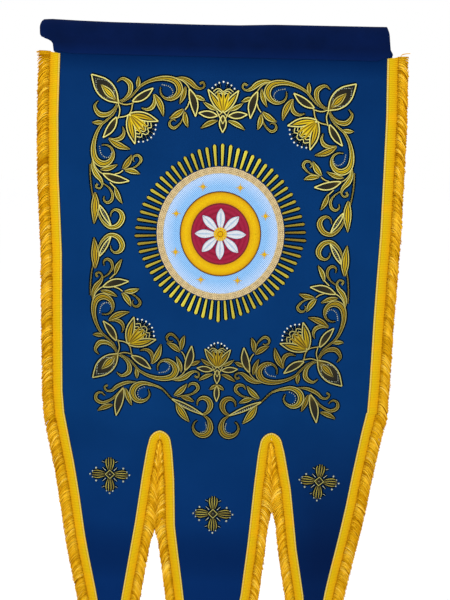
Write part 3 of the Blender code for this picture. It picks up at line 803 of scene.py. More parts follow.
def edge_shadow_strip(rail, length):
    inner = rail[:, :2] - rail[:, 2:4] * (rail[:, 4:5] + SHADOW_SHOWS)
    outer = rail[:, :2] - rail[:, 2:4] * (rail[:, 4:5] - 0.003)
    share = np.array([0, 0.1, 0.9, 1, 0.7, 0.3])[None, :, None]
    rise = np.array([0.05, 0.45, 0.45, 0.05, -0.1, -0.1])[None, :] / 1000
    spot = inner[:, None, :] * (1 - share) + outer[:, None, :] * share
    y = sway(spot[..., 0], spot[..., 1]) - CLOTH_THICKNESS / 2 - rise
    points = np.stack((spot[..., 0], y, spot[..., 1]), -1)
    return lay_strip(points, np.zeros_like(points), 0.5)


edge_shadows = [edge_shadow_strip(rail, length) for rail, length in rails.values()]
fringe_tape = sew_on("fringe_tape", edge_shadows, braid_edge_shadow, "dark_cloth")

# %% [markdown]
# One thread is modelled once: a thin four-sided tube in five steps. An Array modifier copies it, and
# each copy is then laid from the braid outwards and down, in clumps, with its own length, lean and
# tone, as hanging threads never lie quite alike. Four layers make it dense; the deeper ones get darker
# tones as painted shade, and the last, thick and dark, is painted shade between the front threads.

# %% Hanging threads
THREAD_LENGTH = 0.0268
THREAD_STEPS = 5
THREAD_RADIUS = 0.00086
THREAD_PITCH = 0.0023
# the tones are darker for the deeper layers, painted shade; the last layer is painted shade behind the front threads
LAYERS = (                   # depth, length share, how far in over the braid, thickness, lean share, tones
    (-0.0015, 0.98, 0.0022, 1.0, 1.0, (0.15, 1.00)), (-0.0004, 1.02, 0.0012, 1.0, 1.0, (0.15, 0.95)),
    (0.0008, 0.97, 0.0030, 1.1, 0.5, (0.00, 0.75)), (0.0020, 0.95, 0.0040, 2.9, 0.0, (0.00, 0.25)),
)
CLUMP = 3                    # threads that lean together
LEAN = 0.0018                # how far a clump's tips stray, usually
TOP_SETTLE = 0.022           # of a fringe's free top end, over which its threads begin to droop


def thread_row(count):
    """As many thin tubes as asked for, in one mesh, one after the other."""
    bpy.ops.object.select_all(action="DESELECT")
    bpy.ops.mesh.primitive_cylinder_add(vertices=4, radius=1, depth=1, location=(0, 0, 0))
    row = bpy.context.object
    cut_lengthwise(row, THREAD_STEPS)
    only(row)
    copies = row.modifiers.new("copies", "ARRAY")
    copies.count = count
    copies.use_relative_offset = False
    bpy.ops.object.modifier_apply(modifier="copies")
    return row


def lay_threads(row, root, out, reach, length, depth, thick, lean_share, tones, droop):
    """Lays each tube from its root, outwards at first and then down under its own weight."""
    count = len(root)
    spots = points_of(row).reshape(count, -1, 3)
    t = spots[..., 2] + 0.5
    lean = chance.normal(0, LEAN * lean_share, count // CLUMP + 1).repeat(CLUMP)[:count]
    shared = chance.uniform(0, 1, count // CLUMP + 1).repeat(CLUMP)[:count]
    reach = reach * chance.uniform(0.93, 1.04, count)
    length = length * chance.uniform(0.92, 1.05, count)
    drop = np.sqrt(np.maximum(length ** 2 - reach ** 2, (0.35 * length) ** 2)) * droop
    goal = out * reach[:, None] + np.stack((lean, -drop), 1)
    goal *= np.minimum(1, length / np.linalg.norm(goal, axis=1))[:, None]
    outward = goal.copy()
    outward[:, 1] += drop
    fall = goal - outward
    line = root[:, None] + outward[:, None] * (1.2 * t - 0.2 * t * t)[..., None]
    line += fall[:, None] * (t ** 1.7)[..., None]
    way = unit(goal)
    radius = THREAD_RADIUS * thick * chance.uniform(0.75, 1.15, count)[:, None] * (1 - 0.25 * t)
    turned = spots[..., 0] * radius
    line = line + np.stack((-way[:, 1], way[:, 0]), 1)[:, None] * turned[..., None]
    wander = chance.normal(0, 0.0007, count)[:, None] * t
    y = sway(line[..., 0], line[..., 1]) - 0.00185 + depth * np.minimum(1, 0.7 + t) + wander + spots[..., 1] * radius
    set_points(row, np.stack((line[..., 0], y, line[..., 1]), -1).reshape(-1, 3))
    stitch = np.stack((t * THREAD_LENGTH, spots[..., 0], t), -1).reshape(-1, 3)
    row.data.attributes.new("stitch", "FLOAT_VECTOR", "POINT").data.foreach_set("vector", stitch.astype(np.float32).ravel())
    tone = tones[0] + (tones[1] - tones[0]) * (0.6 * shared + 0.4 * chance.uniform(0, 1, count))
    tone = np.repeat(tone, spots.shape[1])
    row.data.attributes.new("tone", "FLOAT", "POINT").data.foreach_set("value", tone.astype(np.float32))
    return row


def threads_on(rail, length, free_top):
    """Rows of threads along one rail, one row for each layer."""
    rows = []
    distance = np.linspace(0, length, len(rail))
    for depth, share, over, *look in LAYERS:
        count = int(length / THREAD_PITCH)
        at = np.linspace(0.001, length - 0.001, count) + chance.uniform(-0.0008, 0.0008, count)
        found = along_rail(rail, distance, at)
        root = found[:, :2] + found[:, 2:4] * (found[:, 6:7] - over)
        row, full = thread_row(count), THREAD_LENGTH * share + over
        droop = 0.12 + 0.88 * smooth_step(at / TOP_SETTLE) if free_top else 1.0
        rows.append(lay_threads(row, root, found[:, 2:4], found[:, 5] + over, full, depth, *look, droop))
    return rows


thread_gold = material("thread_gold", 0.6, Specular_IOR_Level=0.0)
tree = thread_gold.node_tree
lines = use(tree, threads, Pitch=0.0016, Slant=0.0009)
body = ramp(tree, lines["Tone"], [
    (0.0, rgb(132, 78, 2)), (0.25, rgb(190, 134, 6)), (0.5, rgb(224, 174, 20)), (0.8, rgb(242, 198, 50)),
    (1.0, rgb(252, 222, 104)),
])
root_shade = ramp(tree, lines["Share"], [(0.0, rgb(240, 232, 220)), (0.4, rgb(255, 252, 246)), (1.0, rgb(236, 222, 200))])
body = blend(tree, 1.0, body, root_shade, "MULTIPLY")
finish_with(thread_gold, body, lines["Ridge"], 0.0004, 0.8)
hanging = {}
for name, (rail, length) in rails.items():
    rows = threads_on(rail, length, name in ("left_edge", "right_edge"))
    hanging[name] = sew_on("threads_" + name, rows, thread_gold, "gold_fringe", ["fringe_" + name])
loose = np.array([
    (0.3325, -0.0560), (0.3335, -0.0500), (0.3360, -0.0470), (0.3410, -0.0455), (0.3460, -0.0448), (0.3510, -0.0446),
])
turn = np.linspace(0, math.tau, 5)[:4]
ring = 0.0007 * np.stack((0 * turn, np.cos(turn), np.sin(turn)), 1)
tube = np.array([(x, -0.0015, z) for x, z in loose])[:, None] + ring[None] * np.linspace(1.6, 0.8, len(loose))[:, None, None]
sew_on("loose_thread", [lay_strip(tube, np.zeros_like(tube), 0.5)], thread_gold, "gold_fringe")

# %% [markdown]
# The embroidery is satin stitch: thread laid side by side over padding, so each band stands a
# millimetre proud and catches the light. A band is one strip whose section has a pale outline cord
# on each side and a padded middle. Every motif is drawn in millimetres on the border's own
# measure: a to the right of the border's left line, b down from its top line.

# %% Satin bands
BORDER_WIDTH, BORDER_HEIGHT = 500.0, 592.0
BORDER_LEFT, BORDER_TOP = -0.2455, -0.0985
BAND_STEP = 2.4              # millimetres between a band's cross-sections
CORD_HALF = 0.95             # half the width of a band's outline cord, at most
GROOVE = 2.3                 # between the cord and the padded middle, at most
BAND_HEIGHT = 1.3
ACROSS = np.array([-6, -5, -4, -3, -2, -1, 0, 1, 2, 3, 4, 5, 6, 0]) / 6
TOPS = {                     # height at each sixth from the middle out
    "full": (0.70, 0.85, 0.60, 0.15, 0.80, 1.00, 0.0),
    "veined": (0.30, 0.85, 0.62, 0.15, 0.80, 1.00, 0.0),
    "round": (1.00, 0.97, 0.90, 0.78, 0.60, 0.35, 0.0),     # a plain cord
    "bar": (1.00, 0.97, 0.90, 0.78, 0.60, 0.35, 0.0),       # a thicker one with its own shading
    # a petal's dark edges come from the satin's groove colour: painted shade
    "petal": (1.00, 0.97, 0.90, 0.70, 0.45, 0.20, 0.0),     # all gold, with dark edges and no cord
}


def cloth_front(x, z):
    return sway(x, z) - CLOTH_THICKNESS / 2


def askew(u, v):
    """How far the hanging cloth draws the border to the right and down, in millimetres."""
    return 2.5 * v * v - 1 + 9 * u * v * (1 - v), u - 1 + 4 * (u * (1 - v)) ** 2


def on_border(mirror_across=False, mirror_down=False, swap=False):
    """Turns millimetres on the border into places on the banner, mirrored if asked."""
    def place(points):
        a, b = points[..., 0], points[..., 1]
        if swap:
            a, b = b, a
        a = BORDER_WIDTH - a if mirror_across else a
        b = BORDER_HEIGHT - b if mirror_down else b
        over, down = askew(a / BORDER_WIDTH, b / BORDER_HEIGHT)
        return np.stack((BORDER_LEFT + (a + over) / 1000, BORDER_TOP - (b + down) / 1000), -1)
    return place


def smooth_line(marks, step=BAND_STEP):
    """A smooth curve through given marks, evenly spaced, with the marks' other values eased too."""
    marks = np.array(marks, dtype=float)
    if len(marks) > 2:
        ends = np.concatenate((2 * marks[:1] - marks[1:2], marks, 2 * marks[-1:] - marks[-2:-1]))
        t = np.linspace(0, 1, 12, endpoint=False)[:, None]
        fine = []
        for p0, p1, p2, p3 in zip(ends, ends[1:], ends[2:], ends[3:]):
            fine.append(0.5 * (2 * p1 + (p2 - p0) * t + (2 * p0 - 5 * p1 + 4 * p2 - p3) * t ** 2
                               + (3 * p1 - p0 - 3 * p2 + p3) * t ** 3))
        marks = np.concatenate(fine + [marks[-1:]])
    length = np.concatenate(([0], np.cumsum(np.linalg.norm(np.diff(marks[:, :2], axis=0), axis=1))))
    steps = int(np.clip(round(length[-1] / step), 6, 60))
    at = np.linspace(0, length[-1], steps + 1)
    return np.column_stack([np.interp(at, length, marks[:, i]) for i in range(marks.shape[1])]), length[-1]


def laid(place, line, length, offset, rise, across, tone):
    """One strip on the cloth: how far each of its points stands aside from the line, and how high."""
    way = unit(np.gradient(line[:, :2], axis=0))
    side = np.stack((-way[:, 1], way[:, 0]), 1)
    flat = line[:, None, :2] + side[:, None] * offset[..., None]
    spot = place(flat)
    y = cloth_front(spot[..., 0], spot[..., 1]) - rise / 1000
    points = np.stack((spot[..., 0], y, spot[..., 1]), -1)
    stitch = np.empty_like(points)
    stitch[..., 0] = np.linspace(0, length / 1000, len(line))[:, None]
    stitch[..., 1] = across[None, :]
    stitch[..., 2] = np.linspace(0, 1, len(line))[:, None]
    return lay_strip(points, stitch, tone)


FLAT_ACROSS = np.array([-1, -0.55, 0.55, 1, 0.5, -0.5])
FLAT_RISE = np.array([0.05, 1, 1, 0.05, -0.2, -0.2])
# the felt's margin shows round each band as a painted shadow line
FELT_SHADOW_MARGIN = 2.8            # of dark felt that shows on each side of a band, millimetres
FELT_HEIGHT = 0.35
FELT_STEP = 4.0              # felt needs fewer cross-sections than the bands over it
felt_shadow_strips, net_plates = [], []


def flat_strip(place, marks, margin=0.0, height=FELT_HEIGHT, lift=0.0):
    """A thin flat strip, for the felt under a band, whose margin is a painted shadow line, or the net inside a leaf."""
    line, length = smooth_line(marks, FELT_STEP)
    half = np.maximum(line[:, 2], 0.12)[:, None] + margin
    rise = np.tile(FLAT_RISE * height + lift, (len(line), 1))
    return laid(place, line, length, half * FLAT_ACROSS, rise, np.abs(FLAT_ACROSS), 0.5)


def band(place, marks, kind="full", tone=None, height=BAND_HEIGHT, lift=0.0, felt_shadow=True):
    """A satin band along marks (a, b, half width), laid on the cloth, mostly over dark felt that shows round it as a
    painted shadow line.
    """
    if felt_shadow:
        felt_shadow_strips.append(flat_strip(place, marks, FELT_SHADOW_MARGIN))
    line, length = smooth_line(marks)
    half = np.maximum(line[:, 2], 0.12)[:, None]
    cord = np.minimum(CORD_HALF, half * 0.22)
    groove = np.minimum(GROOVE, half * 0.38)
    inner = half - 2 * cord - groove
    if kind in ("round", "bar", "petal"):
        levels = [half * share for share in (0, 1 / 6, 1 / 3, 1 / 2, 2 / 3, 5 / 6, 1)]
    else:
        levels = [0 * half, 0.55 * inner, inner, inner + groove / 2, inner + groove, half - 0.6 * cord, half]
    steps_out = np.rint(np.abs(ACROSS) * 6).astype(int)
    offset = np.concatenate([levels[i] for i in steps_out], axis=1) * np.sign(ACROSS)
    rise = np.array(TOPS[kind])[steps_out] * np.minimum(height, 0.9 * half)
    rise[:, -1] = -0.1
    rise += lift
    across = np.abs(ACROSS)
    across[-1] = 1
    if kind == "round":
        across = 0.68 + 0.32 * across         # all of a plain cord is coloured as an outline is
    if kind == "petal":
        across *= 0.5
    return laid(place, line, length, offset, rise, across, chance.uniform(0, 1) if tone is None else tone)


def stem(place, marks, half=1.15, kind="round"):
    """A thin line of stem stitch."""
    marks = [(*mark, half) if len(mark) == 2 else mark for mark in marks]
    return band(place, marks, kind, height=1.0)


LEAF_WIDTHS = ((0.0, 0.18), (0.12, 0.55), (0.32, 0.95), (0.55, 0.98), (0.78, 0.62), (0.92, 0.27), (1.0, 0.08))


def leaf(place, base, tip, width, bend=0.0, kind="veined"):
    """A leaf from its base to its pointed tip, bent to one side by some millimetres."""
    base, tip = np.array(base, dtype=float), np.array(tip, dtype=float)
    way = tip - base
    side = np.array((-way[1], way[0])) / np.linalg.norm(way)
    marks = []
    for share, wide_share in LEAF_WIDTHS:
        spot = base + way * share + side * bend * math.sin(math.pi * share)
        marks.append((*spot, width / 2 * wide_share))
    return band(place, marks, kind)


OPEN_WIDTHS = ((0, 0.10), (0.2, 0.72), (0.42, 1.0), (0.65, 0.88), (0.85, 0.42), (1.0, 0.0))


def open_leaf(place, base, tip, width, bend=0.0, inner=0.0, far=0.84, kind="petal"):
    """A leaf of two outline bands with dark net between them, and often a satin leaf inside."""
    base, tip = np.array(base, dtype=float), np.array(tip, dtype=float)
    way = tip - base
    side = np.array((-way[1], way[0])) / np.linalg.norm(way)
    middle = [base + way * share + side * bend * math.sin(math.pi * share) for share, _ in OPEN_WIDTHS]
    halves = [(width / 2 - 1.2) * wide_share for _, wide_share in OPEN_WIDTHS]
    net_plates.append(flat_strip(place, [(*spot, half) for spot, half in zip(middle, halves)], 0.3, 0.5))
    made = []
    for hand in (-1, 1):
        line = [spot + side * hand * half for spot, half in zip(middle, halves)]
        made.append(band(place, [(*spot, 1.35) for spot in line], "round", tone=1.0))
    if inner:
        made.append(leaf(place, base + way * 0.10, base + way * far, width * inner, bend * 0.95, kind))
    return made


def gold_satin(name, colours, shaded, depth=0.00022, shade_painted_below=False):
    """Gold satin: colours from a band's middle to its edge, how its darker bands differ, and painted shade on low parts
    of the banner if asked.
    """
    made = material(name, 0.45, Specular_IOR_Level=0.10)
    tree = made.node_tree
    lines = use(tree, threads, Pitch=0.00075, Slant=0.0006)
    body = ramp(tree, lines["Across"], colours)
    deeper = blend(tree, 1.0, body, shaded, "MULTIPLY")
    body = blend(tree, maths(tree, "MULTIPLY_ADD", lines["Tone"], 0.7, 0.3), deeper, body)
    body = blend(tree, maths(tree, "MULTIPLY", lines["Unevenness"], 0.3), body, deeper)
    if shade_painted_below:
        # painted shade: bands low on the banner are darkened by height
        low_painted_shade = blend(tree, 1.0, body, rgb(204, 202, 204), "MULTIPLY")
        height = node(tree, "SeparateXYZ", node(tree, "TexCoord").outputs["Object"]).outputs[2]
        body = blend(tree, node(tree, "MapRange", height, -0.38, -0.62, 0.0, 1.0).outputs[0], body, low_painted_shade)
    return finish_with(made, body, lines["Ridge"], depth, 0.6)


# painted shade: the dark middle line, the near-black groove inside each cord and the dark outer edge, where the band
# dips or falls away
satin_gold = gold_satin("satin_gold", [
    (0.00, rgb(70, 52, 4)), (0.08, rgb(150, 122, 8)), (0.20, rgb(226, 202, 26)), (0.31, rgb(214, 186, 20)),
    (0.37, rgb(26, 22, 6)), (0.61, rgb(16, 18, 14)), (0.68, rgb(210, 204, 114)), (0.93, rgb(214, 208, 132)),
    (1.00, rgb(70, 66, 30)),
], rgb(192, 174, 130), shade_painted_below=True)
print("finish:", satin_gold.name)

# %% [markdown]
# One corner of the border is drawn once, and laid four times, mirrored at the border's two middle
# lines. Within the corner most shapes come in pairs, mirrored at its diagonal by swapping a and b.
# Leaves are given by base, tip and width; scrolls by marks with their half widths.

# %% The border's corners
CORNER_LEAVES = [            # base, tip, width, bend; each is also laid mirrored at the diagonal
    ((87, 22), (89, 1), 8, 1),
    ((119, 33), (137, 74), 12, -3),
    ((178, 17), (167, 50), 9, -2),
    ((175, 59), (148, 77), 11, -2),
    ((178, 64), (184, 93), 10, 2),
]
CORNER_OPEN_LEAVES = [
    ((78, 48), (117, 22), 15, 2),
    ((186, 22), (198, 72), 16, -3),
]
CORNER_HOOKS = [
    [(48, 13, 0.4), (59, 6, 2.4), (73, 15, 4.6), (73, 31, 3.8), (63, 43, 1.7), (50, 49, 0.7)],
    [(56, 50, 1), (72, 42, 1.2), (84, 29, 1.8), (94, 18, 2.2), (113, 8, 3), (137, 3, 4.5), (158, 7, 6),
     (167, 20, 6.5), (163, 33, 5), (151, 41, 3.4), (138, 39, 2), (131, 30, 1.2), (131, 19, 0.5)],
    [(94, 59, 0.3), (106, 62, 2.4), (116, 57, 3.8), (120, 46, 2.8), (118, 33, 0.8)],
    [(155, 3, 0.6), (172, 2, 3), (186, 8, 5), (197, 17, 3.6), (207, 20, 1.6), (214, 15, 1.4), (211, 8, 1.6),
     (205, 11, 1.8)],
    [(176, 62, 0.9), (173, 78, 1), (167, 88, 1.4), (157, 95, 2.4), (149, 90, 2.2), (150, 82, 1.4), (157, 79, 1),
     (161, 82, 0.6)],
]
CORNER_STEMS = [
    [(50, 50), (64, 54), (80, 51)],
    [(186, 44), (183, 53), (178, 60)],
    [(72, 72), (76, 64), (78, 53)],
    [(160, 2), (173, 7), (182, 15), (187, 24)],
]
TULIP_PETAL = ((72, 71), (127, 83), 17.5, -1.5)
INNER_PETAL = ((74, 73), (108, 96), 11, -1)
FRILL = [(113, 86), (114, 95), (107, 97), (109, 104), (104, 109), (97, 107), (95, 114), (86, 113)]
TOP_ARM_LEAF = ((196, 33), (216, 42), 8, 0)


def pearl_row(place, marks, size, count):
    """Pearls evenly spaced along a curve, as (place, half size) pairs."""
    line, _ = smooth_line(marks, 0.8)
    pick = np.linspace(0, len(line) - 1, count).round().astype(int)
    return [(place(line[i, :2]), size) for i in pick]


silver_strips = []


def corner(across, down):
    made, pearls = [], []
    for swap in (False, True):
        place = on_border(across, down, swap)
        made += [leaf(place, *each) for each in CORNER_LEAVES]
        for each in CORNER_OPEN_LEAVES:
            made += open_leaf(place, *each)
        made += [band(place, marks) for marks in CORNER_HOOKS]
        made += [stem(place, marks) for marks in CORNER_STEMS]
        made += open_leaf(place, *TULIP_PETAL, inner=0.62)
        made.append(leaf(place, *INNER_PETAL, "petal"))
        pearls += pearl_row(place, [(134, 15), (147, 18), (154, 26), (153, 34), (144, 39)], 1.15, 12)
    place = on_border(across, down)
    made += open_leaf(place, (50, 50), (0, 0), 34, inner=0.42, far=0.64, kind="full")
    for hand in (-1, 1):
        edge = [(42, 42), (33 - hand * 9, 33 + hand * 9), (20 - hand * 9, 20 + hand * 9), (8, 8)]
        pearls += pearl_row(place, edge, 0.9, 18)
    made.append(leaf(place, *TOP_ARM_LEAF))
    made.append(leaf(place, (74, 74), (103, 103), 13, 0, "petal"))
    for shrink in (1.0, 0.84, 0.68):
        marks = [(75 + (a - 75) * shrink, 75 + (b - 75) * shrink, 1.0) for a, b in FRILL]
        made.append(band(place, marks, "round", tone=1.0))
    for turn in np.radians(np.linspace(-3, 93, 7)):
        way = np.array((math.cos(turn), math.sin(turn)))
        silver_strips.append(stem(place, [tuple(92 + 17 * way), tuple(92 + 29 * way)], 0.4, "bar"))
        pearls.append((place(92 + 31 * way), 1.8))
    return made, pearls


pearl_places = []
for title, across, down in (
    ("top_left", False, False), ("top_right", True, False), ("bottom_left", False, True), ("bottom_right", True, True),
):
    made, pearls = corner(across, down)
    pearl_places += pearls
    sew_on("corner_" + title, made, satin_gold, "gold_cord")

# %% [markdown]
# Between the corners each side has a spray of leaves and curls, mirrored at the border's level middle
# line, and the top and the bottom have a lotus on the upright middle line. The lower ornament hangs
# between the bottom corners, over the slits.

# %% Sides, lotuses and lower ornament
SIDE_HOOKS = [
    [(-3, 168, 0.9), (-3, 189, 0.9), (-1, 212, 0.9), (3, 234, 0.9)],
    [(22, 204, 0.9), (33, 212, 1.2), (40, 224, 2.2), (38, 236, 2.6), (30, 241, 2.2), (23, 236, 1.2), (24, 228, 0.5)],
    [(10, 254, 1), (19, 275, 2.4), (34, 288, 3.6), (50, 285, 4.8), (59, 271, 5.2), (56, 259, 4.0), (46, 254, 2.2),
     (38, 259, 1.2), (36, 268, 0.5)],
]
SIDE_LEAVES = [((45, 210), (59, 242), 9, 2), ((6, 222), (4, 283), 15.5, -1.5)]
SIDE_STEM = [(35, 202), (40, 207), (46, 213)]
SIDE_NET_LEAF = ((14, 246), (37, 285), 10)
SIDE_BEADS = [(18, 253), (25, 265), (32, 277)]
side_made = []
for across in (False, True):
    for down in (False, True):
        place = on_border(across, down)
        side_made += [band(place, marks) for marks in SIDE_HOOKS]
        side_made += [leaf(place, *each) for each in SIDE_LEAVES]
        side_made += [stem(place, SIDE_STEM), *open_leaf(place, *SIDE_NET_LEAF)]
        pearl_places += pearl_row(place, SIDE_BEADS, 0.9, 7)
sew_on("side_sprays", side_made, satin_gold, "gold_cord")


def lotus(top, wide, tall):
    """A lotus upright on the middle line, its own top at a height on the border."""
    made, pearls = [], []
    for hand in (-1, 1):
        def place(points, hand=hand):
            return on_border()(np.stack((250 + wide * hand * points[..., 0], top + tall * points[..., 1]), -1))
        made += open_leaf(place, (1, 63), (29, 21), 15, 0, inner=0.5)
        made.append(leaf(place, (1, 61), (11, 24), 11, 0, "petal"))
        made.append(leaf(place, (12, 59), (38, 44), 8, 1))
        made += open_leaf(place, (11, 69), (46, 65), 14)
        made.append(leaf(place, (10, 78), (42, 94), 9, -2))
        made.append(stem(place, [(0, 60), (5, 66), (11, 70)]))
        made.append(stem(place, [(0, 84), (5, 74), (12, 60)]))
        for x, b in ((21, 18), (15, 12), (8, 8)):
            silver_strips.append(stem(place, [(x * 0.72, b + 8), (x * 0.97, b + 1)], 0.4, "bar"))
            pearls.append((place(np.array((float(x), float(b)))), 1.8))
    made.append(leaf(place, (0, 62), (0, 23), 11, 0, "petal"))
    made += open_leaf(place, (0, 68), (0, 100), 15)
    for low in (0, 4, 8):
        marks = [(-19, 24, 0.8), (-12, 19, 1), (-6, 20, 1), (0, 24, 1), (6, 20, 1), (12, 19, 1), (19, 24, 0.8)]
        made.append(band(place, [(x * (1 - low / 20), b + low, half) for x, b, half in marks], "round", tone=1.0))
    pearls.append((place(np.array((0.0, 6.0))), 1.9))
    return made, pearls


top_lotus, top_pearls = lotus(0.0, 1.0, 1.0)
bottom_lotus, bottom_pearls = lotus(506.0, 0.88, 0.90)
pearl_places += top_pearls + bottom_pearls
sew_on("lotus_top", top_lotus, satin_gold, "gold_cord")
place = on_border()
bottom_lotus += open_leaf(place, (250, 600), (250, 633), 12)
bottom_lotus += [leaf(place, (250, 598), (250 + hand * 15, 609), 7) for hand in (-1, 1)]
sew_on("lotus_bottom", bottom_lotus, satin_gold, "gold_cord")

LOWER_LEAVES = [
    ((66, 612), (79, 648), 10, 1), ((40, 648), (9, 661), 10, 2), ((164, 624), (190, 598), 11, 2),
    ((177, 624), (205, 635), 10, -1), ((169, 639), (196, 678), 15, 2),
]
LOWER_HOOKS = [
    [(112, 603, 1.8), (130, 605, 1.6), (143, 613, 1.3), (158, 629, 1), (172, 640, 0.7)],
    [(141, 611, 1), (122, 603, 2.4), (101, 600, 4.2), (86, 607, 6), (80, 620, 6.4), (85, 633, 5.4), (96, 638, 4),
     (108, 634, 2.4), (115, 624, 1.2), (112, 612, 0.5)],
    [(88, 598, 0.6), (68, 600, 3), (50, 608, 3.4), (38, 618, 2.2), (28, 618, 1.6), (24, 611, 1.6), (30, 607, 1.8)],
    [(62, 610, 1.2), (50, 624, 1.6), (38, 636, 2), (20, 644, 3), (7, 638, 3.2), (7, 627, 2.4), (16, 622, 1.4),
     (25, 629, 0.6)],
    [(170, 626, 0.9), (184, 623, 1), (200, 619, 1.6), (212, 608, 3), (208, 598, 3.2), (197, 598, 2), (192, 606, 0.6)],
    [(221, 662, 1.2), (232, 656, 3.4), (238, 643, 5.4), (234, 631, 5.4), (223, 626, 4), (213, 632, 2),
     (211, 643, 0.6)],
    [(224, 662, 1), (235, 672, 3.4), (239, 687, 5.6), (235, 700, 5.8), (224, 706, 5.2), (211, 702, 3.6), (204, 691, 2),
     (206, 680, 1.1), (212, 674, 0.5)],
]
LOWER_BEADS = [               # along the net in the doubled stem, and inside the scrolls
    [(176, 640), (192, 648), (210, 656)], [(104, 608), (95, 612), (91, 620), (93, 629), (101, 634)],
    [(229, 679), (231, 688), (228, 696), (220, 699)],
]
lower_made = []
for across in (False, True):
    place = on_border(across)
    lower_made += [leaf(place, *each) for each in LOWER_LEAVES]
    lower_made += [band(place, marks) for marks in LOWER_HOOKS]
    lower_made += open_leaf(place, (62, 612), (47, 670), 17, 2)
    lower_made += open_leaf(place, (160, 631), (224, 662), 10)
    for row in LOWER_BEADS:
        pearl_places += pearl_row(place, row, 1.0, 9)
sew_on("lower_ornament", lower_made, satin_gold, "gold_cord")

# %% [markdown]
# Rays of laid thread stand round the medallion, a little longer where they point straight up, down
# and sideways. Every ray is the same rounded band, narrower towards the middle.

# %% Rays
CENTRE_X, CENTRE_Z = 0.005, -0.3932
RIM_ACROSS, RIM_UP = 124.0, 130.0     # millimetres to the outside of the corded rim
RAY_COUNT = 66
RAY_LENGTH, RAY_EXTRA = 33.0, 8.0
RAY_SHINE = [                # laid threads shine along some slants and not along others
    (0, -0.35), (20, 0.2), (45, 0.5), (58, 0.85), (75, 1.1), (88, 0.85), (105, 0.5), (125, 0.4), (145, 0.6),
    (162, 0.3), (180, -0.2), (200, 0.2), (220, 0.6), (240, 1.1), (255, 1.0), (270, 0.7), (290, 0.45), (310, 0.4),
    (328, 0.5), (345, 0.1), (360, -0.35),
]


def round_medallion(points):
    """Millimetres right and up from the medallion's middle, as places on the banner."""
    return np.stack((CENTRE_X + points[..., 0] / 1000, CENTRE_Z + points[..., 1] / 1000), -1)


rays = []
for i in range(RAY_COUNT):
    turn = math.tau * (i + 0.5) / RAY_COUNT
    way = np.array((math.cos(turn), math.sin(turn)))
    start = np.array((RIM_ACROSS * way[0], RIM_UP * way[1]))
    length = RAY_LENGTH + RAY_EXTRA * abs(math.cos(2 * turn)) ** 3 + (0.7 if i % 2 else -0.7)
    length += 3.0 * abs(math.cos(2 * turn)) ** 60         # the very longest point up, down and sideways
    marks = [(*(start + way * (1.5 + (length - 1.5) * share)), half) for share, half in
             ((0, 1.4), (0.05, 2.0), (0.5, 2.6), (0.92, 3.15), (0.985, 2.3), (1.0, 0.9))]
    # painted sheen: RAY_SHINE sets each ray's tone, brighter or darker by its slant as if its threads caught the light,
    # and its width with it
    shine = float(read(RAY_SHINE, math.degrees(turn)))
    marks = [(a, b, half * (0.88 + 0.2 * shine)) for a, b, half in marks]
    rays.append(band(round_medallion, marks, "bar", tone=shine, height=1.5))
# painted shade: the dark stop at each ray's edge
ray_gold = gold_satin("ray_gold", [
    (0.00, rgb(196, 176, 34)), (0.35, rgb(200, 184, 40)), (0.60, rgb(222, 216, 96)), (0.82, rgb(200, 196, 92)),
    (1.00, rgb(40, 38, 16)),
], rgb(140, 118, 96))
sew_on("rays", rays, ray_gold, "gold_cord")

# %% [markdown]
# The three tails each carry a small cross of four sheaves of satin round a netted square, with silver
# beads. A cross is drawn once round its own middle, in millimetres, and laid three times.

# %% Crosses on the tails
CROSS_MIDDLES = ((-0.2092, -0.8950, 0.0), (0.0050, -0.9712, 0.0), (0.2203, -0.8950, -4.0))


def cross_place(middle_x, middle_z, degrees):
    turned = math.radians(degrees)
    def place(points):
        u, v = points[..., 0], points[..., 1]
        x = middle_x + (u * math.cos(turned) - v * math.sin(turned)) / 1000
        return np.stack((x, middle_z + (u * math.sin(turned) + v * math.cos(turned)) / 1000), -1)
    return place


def quarter(points, turns):
    """Turns points by quarter turns round the middle."""
    for _ in range(turns):
        points = [(-v, u, *rest) for u, v, *rest in points]
    return points


cross_gold, cross_silver, cross_pearls = [], [], []
for middle_x, middle_z, degrees in CROSS_MIDDLES:
    place = cross_place(middle_x, middle_z, degrees)
    for turns in range(4):
        for side_step in (-1.5, -0.5, 0.5, 1.5):
            far = 38.7 - 3.5 * abs(side_step)
            marks = [(9.5, side_step * 2.3, 0.4), (18, side_step * 4.3, 0.95), (27, side_step * 5.3, 1.15),
                     (far, side_step * 4.5, 0.6)]
            cross_gold.append(band(place, quarter(marks, turns), "bar", height=1.1))
        rim_line = [(9.3, 0, 0.95), (4.65, 4.65, 0.95), (0, 9.3, 0.95)]
        cross_gold.append(band(place, quarter(rim_line, turns), "round", tone=1.0, height=1.0))
        ray = [(8.5, 8.5, 0.9), (15, 15, 0.5)]
        cross_silver.append(band(place, quarter(ray, turns), "bar", height=0.9))
        beads = [] if turns == 1 else [(40.5, 0, 1.9), (35.5, 6.5, 1.5), (35.5, -6.5, 1.5)]
        if turns % 2 == 0:
            beads += [(28, 14, 2.1), (28, -14, 2.1)]
        else:
            for hand in (-1, 1):
                whisker = [(26, hand * 11, 0.6), (28.5, hand * 16, 0.5)]
                cross_silver.append(band(place, quarter(whisker, turns), "bar", height=0.9))
        cross_pearls += [(place(np.array((u, v), dtype=float)), size) for u, v, size in quarter(beads, turns)]
    netted = [(-7, 0, 0.2), (0, 0, 7), (7, 0, 0.2)]
    net_plates.append(flat_strip(place, netted, 0.0, 0.5))
    cross_pearls.append((place(np.array((0.0, 0.0))), 1.0))

silver_thread = material("silver_thread", 0.4, Specular_IOR_Level=0.1)
tree = silver_thread.node_tree
lines = use(tree, threads, Pitch=0.0006, Slant=0.0)
